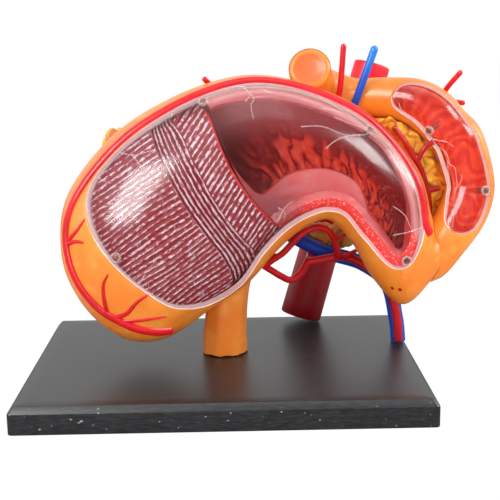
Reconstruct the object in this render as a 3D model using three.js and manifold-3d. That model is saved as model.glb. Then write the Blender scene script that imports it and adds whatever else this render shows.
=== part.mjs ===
// Stomach anatomy model: a palm-size classroom model that comes apart, standing on a flat plate.
// The stomach lies with its greater curvature up and stands on three of its own vessels and tubes.
// Millimetres, +Z up, +X to the viewer's right, +Y away from the viewer.
// The origin is the centre of the plate's underside.

import * as THREE from 'three';
import { mergeVertices } from 'three/addons/utils/BufferGeometryUtils.js';
import Module from 'manifold-3d';

const wasm = await Module();
wasm.setup();

// Driving dimensions: plate and fits
const PLATE_WIDTH = 120;
const PLATE_DEPTH = 88;
const PLATE_HEIGHT = 8;
const PLATE_CHAMFER = 1.8;
const GAP = 0.3;

// Driving dimensions: walls
const SHELL_WALL = 2;
const LINING_WALL = 3;
const MUSCLE_WALL = 2.6;
const MUSCLE_STEP = 0.6;
const DUODENUM_WALL = 1.6;
const DUODENUM_LINING_GAP = 0.6;
const DUODENUM_LINING_WALL = 1.6;
const CUT_WALL_WIDTH = 3.4;
const LINING_MOUTH_DEPTH = 2;
const MUSCLE_BACK_EDGE = 8;
const WINDOW_EDGE_DEPTH = 5;

// Driving dimensions: folds, pins and vessels
const FOLD_HEIGHT = 1.1;
const FOLD_COUNT = 6;
const FOLD_WANDER = { size: 2.2, rate: 9 };
const FOLD_FADE = 0.08;
const FOLD_RINGS = 19;
const FOLD_SIDES = 20;
const DUODENUM_FOLD_HEIGHT = 0.9;
const DUODENUM_FOLD_PITCH = 6;
const PIN_DIAMETER = 2;
const PIN_HEAD_PROUD = 0.3;
const PIN_SIDES = 10;
const BAND_WIDTH = 2.5;
const BAND_RISE = 0.9;
const BAND_BRANCH_WIDTH = 1.7;
const BAND_BRANCH_RISE = 0.5;
const BRANCH_TAPER = 0.4;
const STRIP_EDGE = 0.25;
const AORTA_FOOT_DIAMETER = 14.1;
const AORTA_TOP_DIAMETER = 12.3;
const AORTA_LENGTH = 90.6;
const PORTAL_VEIN_DIAMETER = 4.8;
const HEPATIC_ARTERY_DIAMETER = 2.8;
const GASTRIC_ARTERY_DIAMETER = 2.2;
const MESENTERIC_ARTERY_DIAMETER = 1.8;
const MESENTERIC_VEIN_DIAMETER = 2.4;
const BRANCH_DIAMETER = 1.7;
const BRANCH_SIDES = 5;
const CELIAC_TRUNK_DIAMETER = 3.2;
const TWIG_DIAMETER = 1.5;
const PANCREAS_HEAD_RADIUS = 5.2;
const PANCREAS_BODY_RADIUS = 4.6;
const PANCREAS_TAIL_RADIUS = 3.2;
const LOBE_RISE = 0.9;
const LOBE_PITCH = 8.5;
const LOBES_AROUND = 3;
const LOBE_STEPS = 2;
const GLAND_SIDES = 9;

// The stomach leans back as it rises: sideways step per millimetre of height, and the level
// above the plate's top where the lean is zero. All heights below are above the plate's top.
const LEAN = 0.12;
const LEAN_LEVEL = 47;

// Ribs of the stomach from the fundus tip to the pylorus: a point (x, z) on the greater
// curvature, its partner on the lesser curvature, and half the depth between them.
const RIBS = [
  { greater: [-23, 7], lesser: [-23, 7], halfDepth: 0 },
  { greater: [-33.5, 10], lesser: [-13.5, 10.4], halfDepth: 12 },
  { greater: [-44, 20], lesser: [-3.5, 17.2], halfDepth: 19 },
  { greater: [-49.6, 35], lesser: [8, 24.9], halfDepth: 23 },
  { greater: [-46, 54.5], lesser: [16.5, 34], halfDepth: 23.5 },
  { greater: [-25.5, 75.3], lesser: [23.2, 39.8], halfDepth: 22 },
  { greater: [8, 87.4], lesser: [28.5, 42.8], halfDepth: 19.8 },
  { greater: [40, 78.8], lesser: [33.5, 43], halfDepth: 17.2 },
  { greater: [59, 60.5], lesser: [40, 36], halfDepth: 15.4 },
  { greater: [64.2, 45.5], lesser: [46.5, 24.8], halfDepth: 13.4 },
  { greater: [65.2, 40.2], lesser: [55.6, 16.9], halfDepth: 10.6 },
  { greater: [65.9, 38.6], lesser: [66.2, 26.4], halfDepth: 6.8 },
];
const STOMACH_RINGS = 22;
const STOMACH_SIDES = 20;
const INNER_RINGS = 15;
const INNER_SIDES = 16;
const WINDOW_POINTS = 38;
const BAND_ROWS = 26;
const BRANCH_ROWS = 4;

// Places on the stomach's skin: [rib number, angle in degrees]. The angle is 0 on the greater
// curvature, 180 on the lesser curvature and 270 on the side that faces the viewer.
const WINDOW_OUTLINE = [
  [4.54, 328], [4.2, 326], [3.84, 316], [3.42, 300], [2.9, 275], [2.44, 248], [2.44, 221], [2.96, 207],
  [3.94, 210], [4.94, 212], [5.92, 213], [6.74, 218], [7.26, 223], [7.9, 221], [8.58, 231], [9.08, 248],
  [9.24, 275], [8.9, 307], [8.1, 320], [7.5, 328], [6.96, 332], [6.18, 334], [5.5, 332], [5.04, 329],
];
const LONGITUDINAL_EDGE = [[4.7, 324], [4.6, 290], [4.08, 256], [3.38, 225]];
const CIRCULAR_EDGE = [[5.22, 322], [5.04, 281], [4.84, 260], [4.02, 220]];
const OBLIQUE_EDGE = [[5.5, 319], [5.46, 289], [5.26, 257], [5.1, 240], [4.52, 213]];
const WINDOW_PINS = [[3.34, 292], [5.56, 328], [7.24, 324], [9.1, 262]];
const BAND_ROUTE = [
  [1.48, 235], [1.5, 253], [1.64, 274], [1.88, 291], [2.14, 307], [2.56, 320], [3.08, 331], [3.46, 336],
  [3.96, 337], [4.5, 335], [5.08, 336], [5.62, 339], [6.1, 340], [6.64, 338], [7.22, 337], [7.74, 333],
  [8.26, 323], [8.9, 317], [9.3, 322],
];
const BAND_BRANCHES = [
  [[1.9, 300], [2.44, 299], [2.78, 298], [3.02, 295]],
  [[1.9, 296], [2.16, 282], [2.5, 275], [2.74, 269]],
  [[1.86, 290], [1.98, 269], [2.12, 250]],
  [[3.24, 334], [3.54, 322], [3.78, 317]],
  [[3.24, 334], [3.38, 322], [3.42, 314]],
];

// Duodenum from the pylorus round to the jejunum: x, y, z and radius.
const DUODENUM = [
  [60, -2.5, 31, 6.2], [63.9, -1.6, 29.9, 6.5], [69.1, 0, 35.8, 6.9], [73.9, 2, 42.4, 7.5],
  [76.6, 3.5, 48, 7.6], [77.3, 4.8, 54.2, 7.6], [74.1, 6, 65.3, 7.8], [70.2, 7.3, 70.3, 7.5],
  [66, 9, 74.9, 7.7], [60.4, 11, 78.1, 7.3], [52.1, 14, 79.3, 6.4], [42.1, 17.5, 79.2, 6.2],
  [36, 18.5, 81, 6.4],
];
const DUODENUM_RINGS = 19;
const DUODENUM_SIDES = 14;
const PANE_ROWS = 14;
const PANE_COLUMNS = 4;
const PANE_GAP = 0.45;
const LINING_RINGS = 30;
const LINING_SIDES = 7;
// The duodenum's window and lining: stations along it, and angles, 0 facing the viewer and
// 90 on the outer side of the loop. A span is a station and the window's two edges there.
const DUODENUM_WINDOW_SPANS = [
  [2.28, -20, -8], [2.45, -44, 16], [2.9, -61, 42], [3.8, -76, 44], [5, -78, 42], [6, -76, 43], [7, -65, 55],
  [8, -54, 59], [8.8, -45, 61], [9.3, -33, 54], [9.56, -20, 34], [9.66, -4, 8],
];
const DUODENUM_LINING = { from: 2.1, to: 10.2, opening: [-38, 20] };
const DUODENUM_PINS = [[7.36, -44], [4.52, 26]];
const JEJUNUM = [[36.5, 19, 80.9, 6.3], [31, 16, 83.4, 6.4], [28.3, 10, 86.6, 6.4], [27.2, 3, 89.2, 6.4]];
const JEJUNUM_DISH_DEPTH = 0.9;
const JEJUNUM_RIM = 1.5;
const JEJUNUM_SIDES = 14;

// Supports on the plate: the foot's centre in x and y.
const ESOPHAGUS_FOOT = [0, 4];
const ESOPHAGUS_RISE = [[0, -1], [0, 7], [0.7, 15], [1.8, 23], [3, 31]];
const ESOPHAGUS_RADII = [7.1, 6.9, 6.5, 6.5, 7.2];
const PORTAL_FOOT = [57, 11];
const PORTAL_LEG = { lean: 0.9, height: 8 };
const HEPATIC_END = { left: 0.6, front: 4, height: 2 };
const AORTA_FOOT = [26.5, 35.5];
const AORTA_DIRECTION = [25.4, 9, 86.1];

// Routes of the vessels, in x, y and height above the plate's top.
const PORTAL_VEIN = [[18, 20, 37], [24.9, 15, 33.8], [30.8, 14, 30.8], [36.4, 14, 28.8], [45.4, 13.5, 25.8],
  [53.2, 12, 19.4]];
const CELIAC_TRUNK = [[27.6, 8, 28.2], [29.2, 18, 28.6]];
const HEPATIC_ARTERY = [[27, 7.5, 28], [34, 7.5, 29.2], [39, 7.5, 29.6], [46.6, 7.5, 25.8], [51.6, 7.2, 20.4],
  [54.6, 7, 14.6], [56, 7, 8]];
const LEFT_GASTRIC = [[27, 8, 28.6], [24.9, 6, 25.2], [21.4, 4, 23.1], [18.2, 3, 24.6], [15.1, 2, 26.8],
  [12.8, 0.5, 28.6]];
const RIGHT_GASTRIC = [[12.8, 0.5, 28.6], [16.2, -0.3, 30.6], [19.3, -0.8, 32.6], [22.3, -1, 35.4],
  [25.3, -1, 38.3], [28.2, -1, 40], [31.4, -0.4, 39.8], [34.1, 1.2, 37], [35.4, 3, 34.2], [36.4, 5.5, 30.4]];
const GASTRIC_TWIGS = [
  [[16.6, -0.2, 30.8], [14, 0.6, 34.5]],
  [[22.6, -0.8, 35.7], [19.5, 0.2, 39.3]],
  [[34.6, 1.8, 36], [38.6, 2.4, 38]],
  [[38.6, 6, 30], [42, 3, 32.6]],
];
const MESENTERIC_ARTERY = [[36.6, 10.5, 78.6], [37.3, 9, 84], [38.1, 9, 95.4]];
const MESENTERIC_VEIN = [[41.4, 10.5, 76.6], [43.2, 9, 82], [47.6, 9, 94.4]];
const LOWER_DUODENAL_ARTERY = [
  [[64, 18.5, 66], [68.6, 18.3, 74.6], [71, 13.5, 81.6], [74.6, 10, 87]],
  [[68.6, 18.3, 74.6], [74.2, 14.5, 77.4], [75.8, 10.5, 77.6]],
];
const GASTRODUODENAL_ARTERY = [
  [[53.6, 4.5, 70.6], [56.8, 4, 66.2], [59.6, 4, 61.8], [62.4, 4, 56.8], [64.6, 4, 49], [65.2, 4.4, 42.4]],
  [[60.6, 4, 60.2], [63, 3.6, 64.6], [66.4, 4.4, 66.6]],
  [[64, 4, 51], [67.6, 4.4, 51.6]],
];
const SHORT_GASTRIC_ARTERY = [[6, 18, 74], [0.5, 13.4, 80.4], [-3, 9, 84.4], [-4.6, 5.4, 86.2]];
const SPLENIC_ARTERY = [[30, 23.5, 30.5], [23, 27, 34], [12, 31, 38.5], [3, 32.5, 46], [-8, 33, 51],
  [-16, 31, 60], [-25, 27, 63.5], [-31, 22, 70]];

// Pancreas: the head fills the duodenum's loop, the body and tail lie behind the stomach.
const PANCREAS_HEAD = [[46, 16, 72], [54, 12.5, 71], [61, 11.5, 65.5], [65, 11, 57], [65.6, 10.5, 48],
  [62, 11, 40]];
const PANCREAS_BODY = [[62, 12.5, 54], [52, 18, 43], [38, 19.5, 34], [25, 20.5, 36], [12, 24.5, 43],
  [-4, 27, 52], [-20, 24, 62], [-31, 17, 66.4], [-34, 12.5, 67]];

// Small geometry helpers

const vector = (point) => new THREE.Vector3(point[0], point[1], point[2]);
const curveThrough = (points) => new THREE.CatmullRomCurve3(points.map(vector), false, 'catmullrom', 0.5);
const radians = THREE.MathUtils.degToRad;

/** Makes a solid from a geometry whose faces close once its equal vertices are merged. */
function solidFromGeometry(geometry) {
  const bare = geometry.clone();
  bare.deleteAttribute('normal');
  bare.deleteAttribute('uv');
  const merged = mergeVertices(bare, 1e-4);
  return solidFromArrays(merged.attributes.position.array, merged.index.array);
}

/** Makes a solid from vertices and triangles, turned so that its faces point out. */
function solidFromArrays(positions, triangles) {
  const build = (indices) => new wasm.Manifold(new wasm.Mesh({
    numProp: 3,
    vertProperties: new Float32Array(positions),
    triVerts: new Uint32Array(indices),
  }));
  const solid = build(triangles);
  return solid.volume() < 0 ? build(Array.from(triangles).reverse()) : solid;
}

/** Skins a row of rings. A ring of one point closes an end. */
function loft(rings) {
  const positions = [];
  const triangles = [];
  const starts = rings.map((ring) => {
    const start = positions.length / 3;
    ring.forEach((point) => positions.push(point.x, point.y, point.z));
    return start;
  });
  for (let i = 0; i + 1 < rings.length; i += 1) {
    const sides = Math.max(rings[i].length, rings[i + 1].length);
    for (let j = 0; j < sides; j += 1) {
      const next = (j + 1) % sides;
      const [low, lowNext] = [j, next].map((k) => starts[i] + (k % rings[i].length));
      const [high, highNext] = [j, next].map((k) => starts[i + 1] + (k % rings[i + 1].length));
      if (low !== lowNext) triangles.push(low, lowNext, high);
      if (high !== highNext) triangles.push(lowNext, highNext, high);
    }
  }
  return solidFromArrays(positions, triangles);
}

/** Makes a thick patch between two grids of points with the same rows and columns. */
function patch(outer, inner) {
  const rows = outer.length;
  const columns = outer[0].length;
  const positions = [];
  [outer, inner].forEach((grid) => grid.flat().forEach((point) => positions.push(point.x, point.y, point.z)));
  const at = (side, i, j) => (side * rows + i) * columns + j;
  const triangles = [];
  const quad = (a, b, c, d) => triangles.push(a, b, c, a, c, d);
  for (let i = 0; i + 1 < rows; i += 1) {
    for (let j = 0; j + 1 < columns; j += 1) {
      quad(at(0, i, j), at(0, i + 1, j), at(0, i + 1, j + 1), at(0, i, j + 1));
      quad(at(1, i, j), at(1, i, j + 1), at(1, i + 1, j + 1), at(1, i + 1, j));
    }
    quad(at(0, i, 0), at(1, i, 0), at(1, i + 1, 0), at(0, i + 1, 0));
    quad(at(0, i, columns - 1), at(0, i + 1, columns - 1), at(1, i + 1, columns - 1), at(1, i, columns - 1));
  }
  for (let j = 0; j + 1 < columns; j += 1) {
    quad(at(0, 0, j), at(0, 0, j + 1), at(1, 0, j + 1), at(1, 0, j));
    quad(at(0, rows - 1, j), at(1, rows - 1, j), at(1, rows - 1, j + 1), at(0, rows - 1, j + 1));
  }
  return solidFromArrays(positions, triangles);
}

// Rounded end of a tube: how far it reaches in radii, and its shoulder's place and size.
const TUBE_END = { reach: 0.5, shoulderAt: 0.7, shoulderSize: 0.72 };

/** Makes a tube along a smooth route, with one radius or one for each point of the route. */
function tube(route, radius, { steps = Math.ceil(2.5 * (route.length - 1)), sides = 6, flat = false } = {}) {
  const path = curveThrough(route);
  const radii = curveThrough(route.map((_, i) => [Array.isArray(radius) ? radius[i] : radius, 0, 0]));
  const frames = path.computeFrenetFrames(steps, false);
  const tangentAt = (i) => path.getTangent(i / steps);
  const ring = (i, scale, push) => {
    const centre = path.getPoint(i / steps).addScaledVector(tangentAt(i), push);
    const tangent = tangentAt(i);
    const slip = frames.normals[i].dot(tangent);
    const side = frames.normals[i].clone().addScaledVector(tangent, -slip).normalize();
    const up = new THREE.Vector3().crossVectors(tangent, side);
    const size = radii.getPoint(i / steps).x * scale;
    return Array.from({ length: sides }, (_, j) => {
      const angle = (j / sides) * 2 * Math.PI;
      return centre.clone()
        .addScaledVector(side, size * Math.cos(angle))
        .addScaledVector(up, size * Math.sin(angle));
    });
  };
  const tip = (i, push) => [path.getPoint(i / steps).addScaledVector(tangentAt(i), push)];
  const [first, last] = [0, steps].map((i) => (flat ? 0 : radii.getPoint(i / steps).x * TUBE_END.reach));
  const rings = [tip(0, -first)];
  if (!flat) rings.push(ring(0, TUBE_END.shoulderSize, -first * TUBE_END.shoulderAt));
  for (let i = 0; i <= steps; i += 1) rings.push(ring(i, 1, 0));
  if (!flat) rings.push(ring(steps, TUBE_END.shoulderSize, last * TUBE_END.shoulderAt));
  rings.push(tip(steps, last));
  return loft(rings);
}

/** Makes a straight rod between two points, with one radius or another at its far end. */
function rod(from, to, radius, sides, farRadius = radius) {
  const along = to.clone().sub(from);
  const geometry = new THREE.CylinderGeometry(farRadius, radius, along.length(), sides);
  geometry.translate(0, along.length() / 2, 0);
  const upright = new THREE.Vector3(0, 1, 0);
  geometry.applyQuaternion(new THREE.Quaternion().setFromUnitVectors(upright, along.normalize()));
  geometry.translate(from.x, from.y, from.z);
  return solidFromGeometry(geometry);
}

const join = (solids) => solids.reduce((sum, solid) => sum.add(solid));
const cut = (solid, tools) => tools.reduce((rest, tool) => rest.subtract(tool), solid);

/** Keeps the main body of a trimmed solid and drops crumbs that a cut has left. */
function mainBody(solid) {
  const bodies = solid.decompose();
  return bodies.reduce((best, body) => (body.volume() > best.volume() ? body : best));
}

// The stomach's skin

const lastRib = RIBS.length - 1;
const greaterCurve = curveThrough(RIBS.map((rib) => [rib.greater[0], 0, rib.greater[1]]));
const lesserCurve = curveThrough(RIBS.map((rib) => [rib.lesser[0], 0, rib.lesser[1]]));
const depthCurve = curveThrough(RIBS.map((rib) => [rib.halfDepth, 0, 0]));

/** Point of the stomach's skin at a share of the way from fundus to pylorus, and an angle. */
function skinPoint(share, angle) {
  const greater = greaterCurve.getPoint(share);
  const lesser = lesserCurve.getPoint(share);
  const depth = Math.max(depthCurve.getPoint(share).x, 0);
  const point = greater.clone().add(lesser).multiplyScalar(0.5);
  point.addScaledVector(greater.sub(lesser), 0.5 * Math.cos(angle));
  point.y = depth * Math.sin(angle) + LEAN * (point.z - LEAN_LEVEL);
  return point;
}

/** Outward direction of the skin. At the fundus tip it runs along the stomach's axis. */
function skinNormal(share, angle) {
  const step = 0.002;
  if (share < step) {
    const middle = skinPoint(step, 0).add(skinPoint(step, Math.PI)).multiplyScalar(0.5);
    return skinPoint(0, 0).sub(middle).normalize();
  }
  const along = skinPoint(Math.min(share + step, 1), angle).sub(skinPoint(share - step, angle));
  const around = skinPoint(share, angle + step).sub(skinPoint(share, angle - step));
  return along.cross(around).normalize();
}

const offsetSkin = (share, angle, offset) => skinPoint(share, angle)
  .addScaledVector(skinNormal(share, angle), offset);

/** Point of the skin given as a rib number and degrees. */
const placeOnSkin = ([rib, degrees], offset = 0) => offsetSkin(rib / lastRib, radians(degrees), offset);

/** The stomach's body grown or shrunk by an offset. The open end is carried on past the pylorus. */
function stomachBody(offset, { past = 0, rings = INNER_RINGS, sides = INNER_SIDES, relief = () => 0 } = {}) {
  const rows = [[offsetSkin(0, 0, offset)]];
  for (let i = 1; i <= rings; i += 1) {
    rows.push(Array.from({ length: sides }, (_, j) => {
      const angle = (j / sides) * 2 * Math.PI;
      return offsetSkin(i / rings, angle, offset + relief(i / rings, angle));
    }));
  }
  const end = rows[rows.length - 1];
  const endNormal = end[1].clone().sub(end[0]).cross(end[2].clone().sub(end[0])).normalize();
  const outward = endNormal.multiplyScalar(Math.sign(endNormal.x) * past);
  if (past !== 0) rows.push(end.map((point) => point.clone().add(outward)));
  const rim = rows[rows.length - 1];
  const centre = rim.reduce((sum, point) => sum.add(point), new THREE.Vector3()).divideScalar(rim.length);
  rows.push([centre]);
  return loft(rows);
}

/** Shears a geometry so that it leans back as the stomach does. */
function lean(geometry) {
  const shear = new THREE.Matrix4().set(1, 0, 0, 0, 0, 1, LEAN, -LEAN * LEAN_LEVEL, 0, 0, 1, 0, 0, 0, 0, 1);
  return geometry.applyMatrix4(shear);
}

const REACH = 150;

/** Everything between two depths, measured from the stomach's leaning middle plane. */
function slab(front, back) {
  const geometry = new THREE.BoxGeometry(2 * REACH, back - front, 2 * REACH);
  geometry.translate(0, (front + back) / 2, LEAN_LEVEL);
  return solidFromGeometry(lean(geometry));
}

/** Carries an outline in x and z through the model, between two depths. */
function prism(outline, front, back) {
  const shape = new THREE.Shape(outline);
  const geometry = new THREE.ExtrudeGeometry(shape, { depth: back - front, bevelEnabled: false });
  geometry.rotateX(Math.PI / 2);
  geometry.translate(0, back, 0);
  return solidFromGeometry(lean(geometry));
}

/** Moves the points of a closed outline out, or in for a negative distance. */
function growOutline(outline, distance) {
  const turn = THREE.ShapeUtils.area(outline) > 0 ? 1 : -1;
  return outline.map((point, i) => {
    const before = outline[(i + outline.length - 1) % outline.length];
    const after = outline[(i + 1) % outline.length];
    const along = after.clone().sub(before).normalize();
    return new THREE.Vector2(point.x + turn * distance * along.y, point.y - turn * distance * along.x);
  });
}

/** Samples a smooth closed run of places on the skin as an outline in x and z. */
function outlineOnSkin(places, count) {
  const curve = new THREE.CatmullRomCurve3(places.map(([rib, degrees]) => new THREE.Vector3(rib, degrees, 0)),
    true, 'catmullrom', 0.5);
  return Array.from({ length: count }, (_, i) => {
    const place = curve.getPoint(i / count);
    const point = placeOnSkin([place.x, place.y]);
    return new THREE.Vector2(point.x, point.z);
  });
}

const EDGE_STEPS = 8;

/** Outline of all that lies on the fundus side of an edge drawn on the skin. */
function fundusSideOf(edge, shift = 0) {
  const curve = curveThrough(edge.map(([rib, degrees]) => [rib, degrees, 0]));
  const line = Array.from({ length: EDGE_STEPS + 1 }, (_, i) => {
    const place = curve.getPoint(i / EDGE_STEPS);
    const point = placeOnSkin([place.x, place.y]);
    return new THREE.Vector2(point.x + shift, point.z);
  });
  const top = line[0].clone().add(line[0].clone().sub(line[1]).normalize().multiplyScalar(REACH / 2));
  const [beforeLast, last] = line.slice(-2);
  const foot = last.clone().add(last.clone().sub(beforeLast).normalize().multiplyScalar(REACH / 2));
  return [new THREE.Vector2(-REACH, top.y), top, ...line, foot, new THREE.Vector2(-REACH, foot.y)];
}

// Shared cutting tools

const windowOutline = outlineOnSkin(WINDOW_OUTLINE, WINDOW_POINTS);
const skinSolid = stomachBody(0, { rings: STOMACH_RINGS, sides: STOMACH_SIDES });
const shellInside = stomachBody(-SHELL_WALL, { past: 1 });
const grownStomach = stomachBody(GAP, { past: GAP, rings: STOMACH_RINGS, sides: STOMACH_SIDES });
const silhouette = [];
for (let i = 0; i <= STOMACH_RINGS; i += 1) silhouette.push(greaterCurve.getPoint(i / STOMACH_RINGS));
for (let i = STOMACH_RINGS; i > 0; i -= 1) silhouette.push(lesserCurve.getPoint(i / STOMACH_RINGS));
const shadow = silhouette.map((point) => new THREE.Vector2(point.x, point.z));
const frontPath = prism(growOutline(shadow, GAP), -REACH, GAP);

/** Keeps a neighbour off the stomach and out of the way of its front cover. */
const clearOfStomach = (solid) => cut(solid, [grownStomach, frontPath]);

/** A pin's place: its axis runs along Y through a place on the skin. */
function pinSolid(skin, depth, radius) {
  const front = new THREE.Vector3(skin.x, skin.y - PIN_HEAD_PROUD, skin.z);
  return rod(front, new THREE.Vector3(skin.x, skin.y + depth, skin.z), radius, PIN_SIDES);
}

const pinRadius = PIN_DIAMETER / 2;
const pinPlaces = WINDOW_PINS.map((place) => placeOnSkin(place));
const pinDepth = 2 * SHELL_WALL + LINING_WALL;

/** The hole for a pin, with the fitting gap all round it and behind it. */
function pinHole(skin, depth) {
  const front = new THREE.Vector3(skin.x, skin.y - 2 * PIN_DIAMETER, skin.z);
  return rod(front, new THREE.Vector3(skin.x, skin.y + depth + GAP, skin.z), pinRadius + GAP, PIN_SIDES);
}

const pinHoles = pinPlaces.map((place) => pinHole(place, pinDepth));

// Plate

function basePlate() {
  const inset = PLATE_CHAMFER;
  const corners = (dx, dy) => [[-dx, -dy], [dx, -dy], [dx, dy], [-dx, dy]];
  const ring = (dx, dy, z) => corners(dx, dy).map(([x, y]) => new THREE.Vector3(x, y, z));
  const [halfWidth, halfDepth] = [PLATE_WIDTH / 2, PLATE_DEPTH / 2];
  return loft([
    [new THREE.Vector3(0, 0, 0)],
    ring(halfWidth, halfDepth, 0),
    ring(halfWidth, halfDepth, PLATE_HEIGHT - inset),
    ring(halfWidth - inset, halfDepth - inset, PLATE_HEIGHT),
    [new THREE.Vector3(0, 0, PLATE_HEIGHT)],
  ]);
}

/** Cuts a foot flat at the fitting gap above the plate. */
function standOnPlate(solid) {
  const below = new THREE.BoxGeometry(2 * REACH, 2 * REACH, REACH);
  below.translate(0, 0, GAP - REACH / 2);
  return solid.subtract(solidFromGeometry(below));
}

// Stomach pieces

function stomachShells() {
  const wall = skinSolid.subtract(shellInside);
  const opening = prism(growOutline(windowOutline, GAP / 2), -REACH, -WINDOW_EDGE_DEPTH);
  return {
    rear: mainBody(wall.intersect(slab(GAP / 2, REACH))),
    front: mainBody(cut(wall.intersect(slab(-REACH, -GAP / 2)), [opening, ...pinHoles])),
  };
}

function stomachWindow() {
  const pane = prism(growOutline(windowOutline, -GAP / 2), -REACH, -WINDOW_EDGE_DEPTH - GAP);
  return mainBody(cut(skinSolid.subtract(shellInside).intersect(pane), pinHoles));
}

/** Height of the gastric folds: ridges along the stomach that wander from side to side. */
function foldRelief(share, angle) {
  const wave = Math.sin(FOLD_COUNT * angle + FOLD_WANDER.size * Math.sin(FOLD_WANDER.rate * share));
  const fade = Math.min(1, (1 - share) / FOLD_FADE, share / FOLD_FADE);
  return FOLD_HEIGHT * Math.max(wave, 0) * fade;
}

const liningOffset = -(SHELL_WALL + GAP);
const liningOutside = stomachBody(liningOffset);

function gastricLining() {
  const inside = stomachBody(liningOffset - LINING_WALL, {
    past: 1, rings: FOLD_RINGS, sides: FOLD_SIDES, relief: foldRelief,
  });
  const mouth = prism(growOutline(windowOutline, -CUT_WALL_WIDTH), -REACH, -LINING_MOUTH_DEPTH);
  const muscleRoom = prism(fundusSideOf(OBLIQUE_EDGE, GAP), -REACH, -MUSCLE_BACK_EDGE);
  return mainBody(cut(liningOutside.subtract(inside), [mouth, muscleRoom, ...pinHoles]));
}

function musclePanel() {
  const inside = stomachBody(liningOffset - MUSCLE_WALL);
  const layers = [LONGITUDINAL_EDGE, CIRCULAR_EDGE, OBLIQUE_EDGE].map((edge, i) => {
    const outside = stomachBody(liningOffset - i * MUSCLE_STEP);
    return outside.intersect(prism(fundusSideOf(edge), -REACH, -MUSCLE_BACK_EDGE - GAP));
  });
  return mainBody(cut(join(layers), [inside, ...pinHoles]));
}

/** A low arched strip that follows places on the skin, narrowing towards its far end. */
function stripOnSkin(places, width, rise, rows, farShare = 1) {
  const columns = 3;
  const near = 0.01;
  const curve = curveThrough(places.map(([rib, degrees]) => [rib, degrees, 0]));
  const placeAt = (share) => {
    const { x, y } = curve.getPoint(share);
    return { point: placeOnSkin([x, y]), normal: skinNormal(x / lastRib, radians(y)) };
  };
  const grid = (heightAt) => Array.from({ length: rows + 1 }, (_, i) => {
    const share = i / rows;
    const { point, normal } = placeAt(share);
    const before = placeAt(Math.max(share - near, 0)).point;
    const after = placeAt(Math.min(share + near, 1)).point;
    const side = after.sub(before).cross(normal).normalize();
    const half = (width / 2) * THREE.MathUtils.lerp(1, farShare, share);
    return Array.from({ length: columns + 1 }, (__, j) => {
      const across = (2 * j) / columns - 1;
      return point.clone()
        .addScaledVector(side, half * across)
        .addScaledVector(normal, GAP + heightAt(across));
    });
  });
  return patch(grid((across) => STRIP_EDGE + rise * Math.sqrt(1 - across ** 2)), grid(() => 0));
}

function gastroepiploicArtery() {
  const band = stripOnSkin(BAND_ROUTE, BAND_WIDTH, BAND_RISE, BAND_ROWS);
  const branches = BAND_BRANCHES.map((places) => (
    stripOnSkin(places, BAND_BRANCH_WIDTH, BAND_BRANCH_RISE, BRANCH_ROWS, BRANCH_TAPER)
  ));
  const windowRoom = prism(growOutline(windowOutline, GAP), -REACH, -WINDOW_EDGE_DEPTH);
  return mainBody(cut(join([band, ...branches]), [windowRoom]));
}

function esophagus() {
  const [x, y] = ESOPHAGUS_FOOT;
  const route = ESOPHAGUS_RISE.map(([shift, height]) => [x + shift, y, height]);
  const barrel = tube(route, ESOPHAGUS_RADII, { steps: 6, sides: 16, flat: true });
  return mainBody(standOnPlate(clearOfStomach(barrel)));
}

// Duodenum

const lastStation = DUODENUM.length - 1;
const duodenumPath = curveThrough(DUODENUM);
const duodenumRadius = curveThrough(DUODENUM.map((point) => [point[3], 0, 0]));

/** Point of the duodenum at a station along it and an angle, moved out by an offset. */
function duodenumPoint(station, degrees, offset = 0) {
  const share = station / lastStation;
  const tangent = duodenumPath.getTangent(share);
  const back = new THREE.Vector3(0, 1, 0).addScaledVector(tangent, -tangent.y).normalize();
  const outer = new THREE.Vector3().crossVectors(back, tangent);
  const size = duodenumRadius.getPoint(share).x + offset;
  return duodenumPath.getPoint(share)
    .addScaledVector(back, -size * Math.cos(radians(degrees)))
    .addScaledVector(outer, size * Math.sin(radians(degrees)));
}

/** A stretch of the duodenum's wall between two angles, as a thick patch. */
function duodenumWall({ from, to, start, end, outside, inside, rings, sides, relief = () => 0 }) {
  const grid = (offsetAt) => Array.from({ length: rings + 1 }, (_, i) => {
    const station = THREE.MathUtils.lerp(from, to, i / rings);
    return Array.from({ length: sides + 1 }, (__, j) => {
      const degrees = THREE.MathUtils.lerp(start, end, j / sides);
      return duodenumPoint(station, degrees, offsetAt(station));
    });
  });
  return patch(grid(() => outside), grid((station) => inside + relief(station)));
}

/** A pane with rounded ends laid on the duodenum, grown by a margin all round. */
function duodenumPane(margin, outside, inside) {
  const spans = curveThrough(DUODENUM_WINDOW_SPANS);
  const sideMargin = THREE.MathUtils.radToDeg(margin / duodenumRadius.getPoint(0.5).x);
  const endMargin = (margin * lastStation) / duodenumPath.getLength();
  const grid = (offset) => Array.from({ length: PANE_ROWS + 1 }, (_, i) => {
    const share = i / PANE_ROWS;
    const { x: station, y: inner, z: outer } = spans.getPoint(share);
    const moved = station + endMargin * (2 * share - 1);
    return Array.from({ length: PANE_COLUMNS + 1 }, (__, j) => {
      const degrees = THREE.MathUtils.lerp(inner - sideMargin, outer + sideMargin, j / PANE_COLUMNS);
      return duodenumPoint(moved, degrees, offset);
    });
  });
  return patch(grid(outside), grid(inside));
}

const duodenumPinPlaces = DUODENUM_PINS.map(([station, degrees]) => duodenumPoint(station, degrees));
const duodenumPinDepth = DUODENUM_WALL + DUODENUM_LINING_WALL + SHELL_WALL;
const duodenumPinHoles = duodenumPinPlaces.map((place) => pinHole(place, duodenumPinDepth));

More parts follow.
